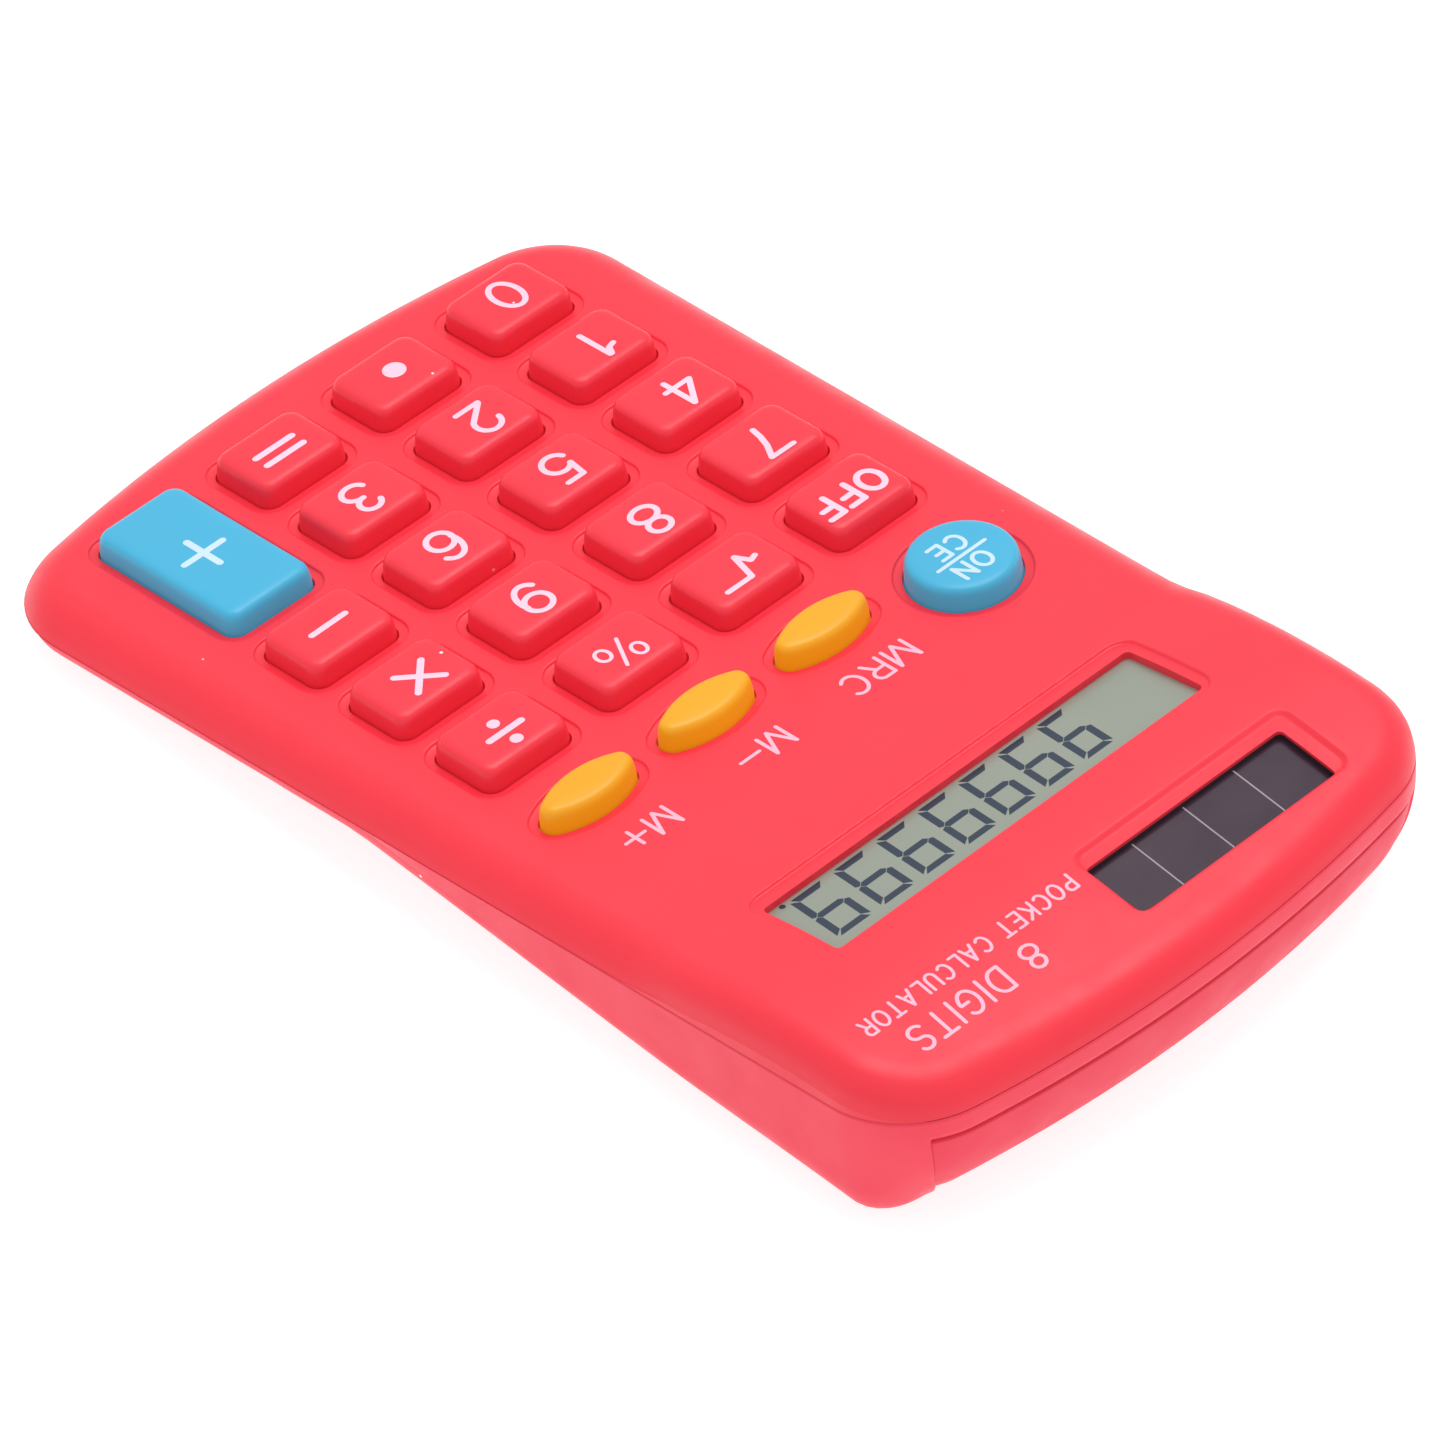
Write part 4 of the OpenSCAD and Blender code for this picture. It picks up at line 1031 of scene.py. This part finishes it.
strips = []
for i in (1, 2, 3):
    x = SUN[0] - 0.35 + (SUN[2] - SUN[0] + 0.9) * i / 4
    s = SUN_SHEAR * (SUN[3] - SUN[1]) / 2
    strips.append([(x - s - 0.07, SUN[1] - 0.2), (x - s + 0.07, SUN[1] - 0.2), (x + s + 0.07, SUN[3] + 0.2),
                   (x + s - 0.07, SUN[3] + 0.2)])
flat_piece("solar_dividers", strips, on_sun, M_GRID)
flat_piece("solar_glass", [rect_loop(grown(SUN, 0.8), 0.3, shear=SUN_SHEAR)], lambda x, y: on_sun(x, y) - INK, M_SUN,
           replaces="solar_cell")


def solar_edge():
    """A near-black lining down the solar window's inner wall: painted shade standing in for the shadowed wall of the
    recess.
    """
    loop = rect_loop(grown(SUN, -0.03), SUN_R - 0.03, shear=SUN_SHEAR)
    n = len(loop)
    verts = [at(x, y, skin(x, y) - 0.3) for x, y in loop] + [at(x, y, on_sun(x, y)) for x, y in loop]
    faces = [(i, (i + 1) % n, n + (i + 1) % n, n + i) for i in range(n)]
    piece("solar_well_shade", verts, faces, M_WELL_SHADE, "case", smooth=False)


solar_edge()

# ---------------------------------------------------------------- room
FLOOR = 3.0
WORLD_LIGHT, FLOOR_GLOW = 0.78, 0.8


def room():
    m, t = nodes_of("floor_paper")
    out = t.nodes.new("ShaderNodeOutputMaterial")
    b = t.nodes.new("ShaderNodeBsdfPrincipled")
    pos = t.nodes.new("ShaderNodeTexCoord").outputs["Object"]
    paper = ramp(t, noise(t, pos, 3.0), [(0.3, (0.4, 0.4, 0.4, 1)), (0.7, (0.42, 0.42, 0.42, 1))])
    t.links.new(paper, b.inputs["Base Color"])
    b.inputs["Roughness"].default_value = 0.9
    b.inputs["Emission Color"].default_value = (1, 1, 1, 1)
    b.inputs["Emission Strength"].default_value = FLOOR_GLOW
    t.links.new(b.outputs[0], out.inputs[0])
    me = bpy.data.meshes.new("floor")
    corners = [(-FLOOR, -FLOOR, 0), (FLOOR, -FLOOR, 0), (FLOOR, FLOOR, 0), (-FLOOR, FLOOR, 0)]
    me.from_pydata(corners, [], [(0, 1, 2, 3)])
    me.materials.append(m)
    o = bpy.data.objects.new("floor", me)
    bpy.context.scene.collection.objects.link(o)


def area(name, place, size, power):
    """A square lamp turned to the middle of the row frame."""
    lamp = bpy.data.lights.new(name, "AREA")
    lamp.size = size
    lamp.energy = power
    o = bpy.data.objects.new(name, lamp)
    o.location = place
    o.rotation_euler = (-Vector(place)).to_track_quat("-Z", "Y").to_euler()
    bpy.context.scene.collection.objects.link(o)


room()
world = bpy.data.worlds.new("room")
world.use_nodes = True
world.node_tree.nodes["Background"].inputs[0].default_value = (1, 1, 1, 1)
world.node_tree.nodes["Background"].inputs[1].default_value = WORLD_LIGHT
bpy.context.scene.world = world
area("overhead_light", (-0.25, -0.1, 0.9), 0.7, 6.0)
bpy.context.scene.view_settings.view_transform = "Standard"

# ---------------------------------------------------------------- camera
EYE = (424.257, 557.002, 553.219)
AIM = (6.742, 29.512, 0.0)
ROLL = math.radians(-8.182)
cam_data = bpy.data.cameras.new("camera")
cam_data.lens = 251.58
cam_data.sensor_width = 36.0
cam_data.clip_end = 20.0
cam = bpy.data.objects.new("camera", cam_data)
bpy.context.scene.collection.objects.link(cam)
eye, aim = at(*EYE), at(*AIM)
look = (aim - eye).normalized()
side = look.cross(UP).normalized()
rise = side.cross(look)
right = side * math.cos(ROLL) + rise * math.sin(ROLL)
top = right.cross(look)
cam.matrix_world = Matrix(((right.x, top.x, -look.x, eye.x),
                           (right.y, top.y, -look.y, eye.y),
                           (right.z, top.z, -look.z, eye.z),
                           (0, 0, 0, 1)))
bpy.context.scene.camera = cam
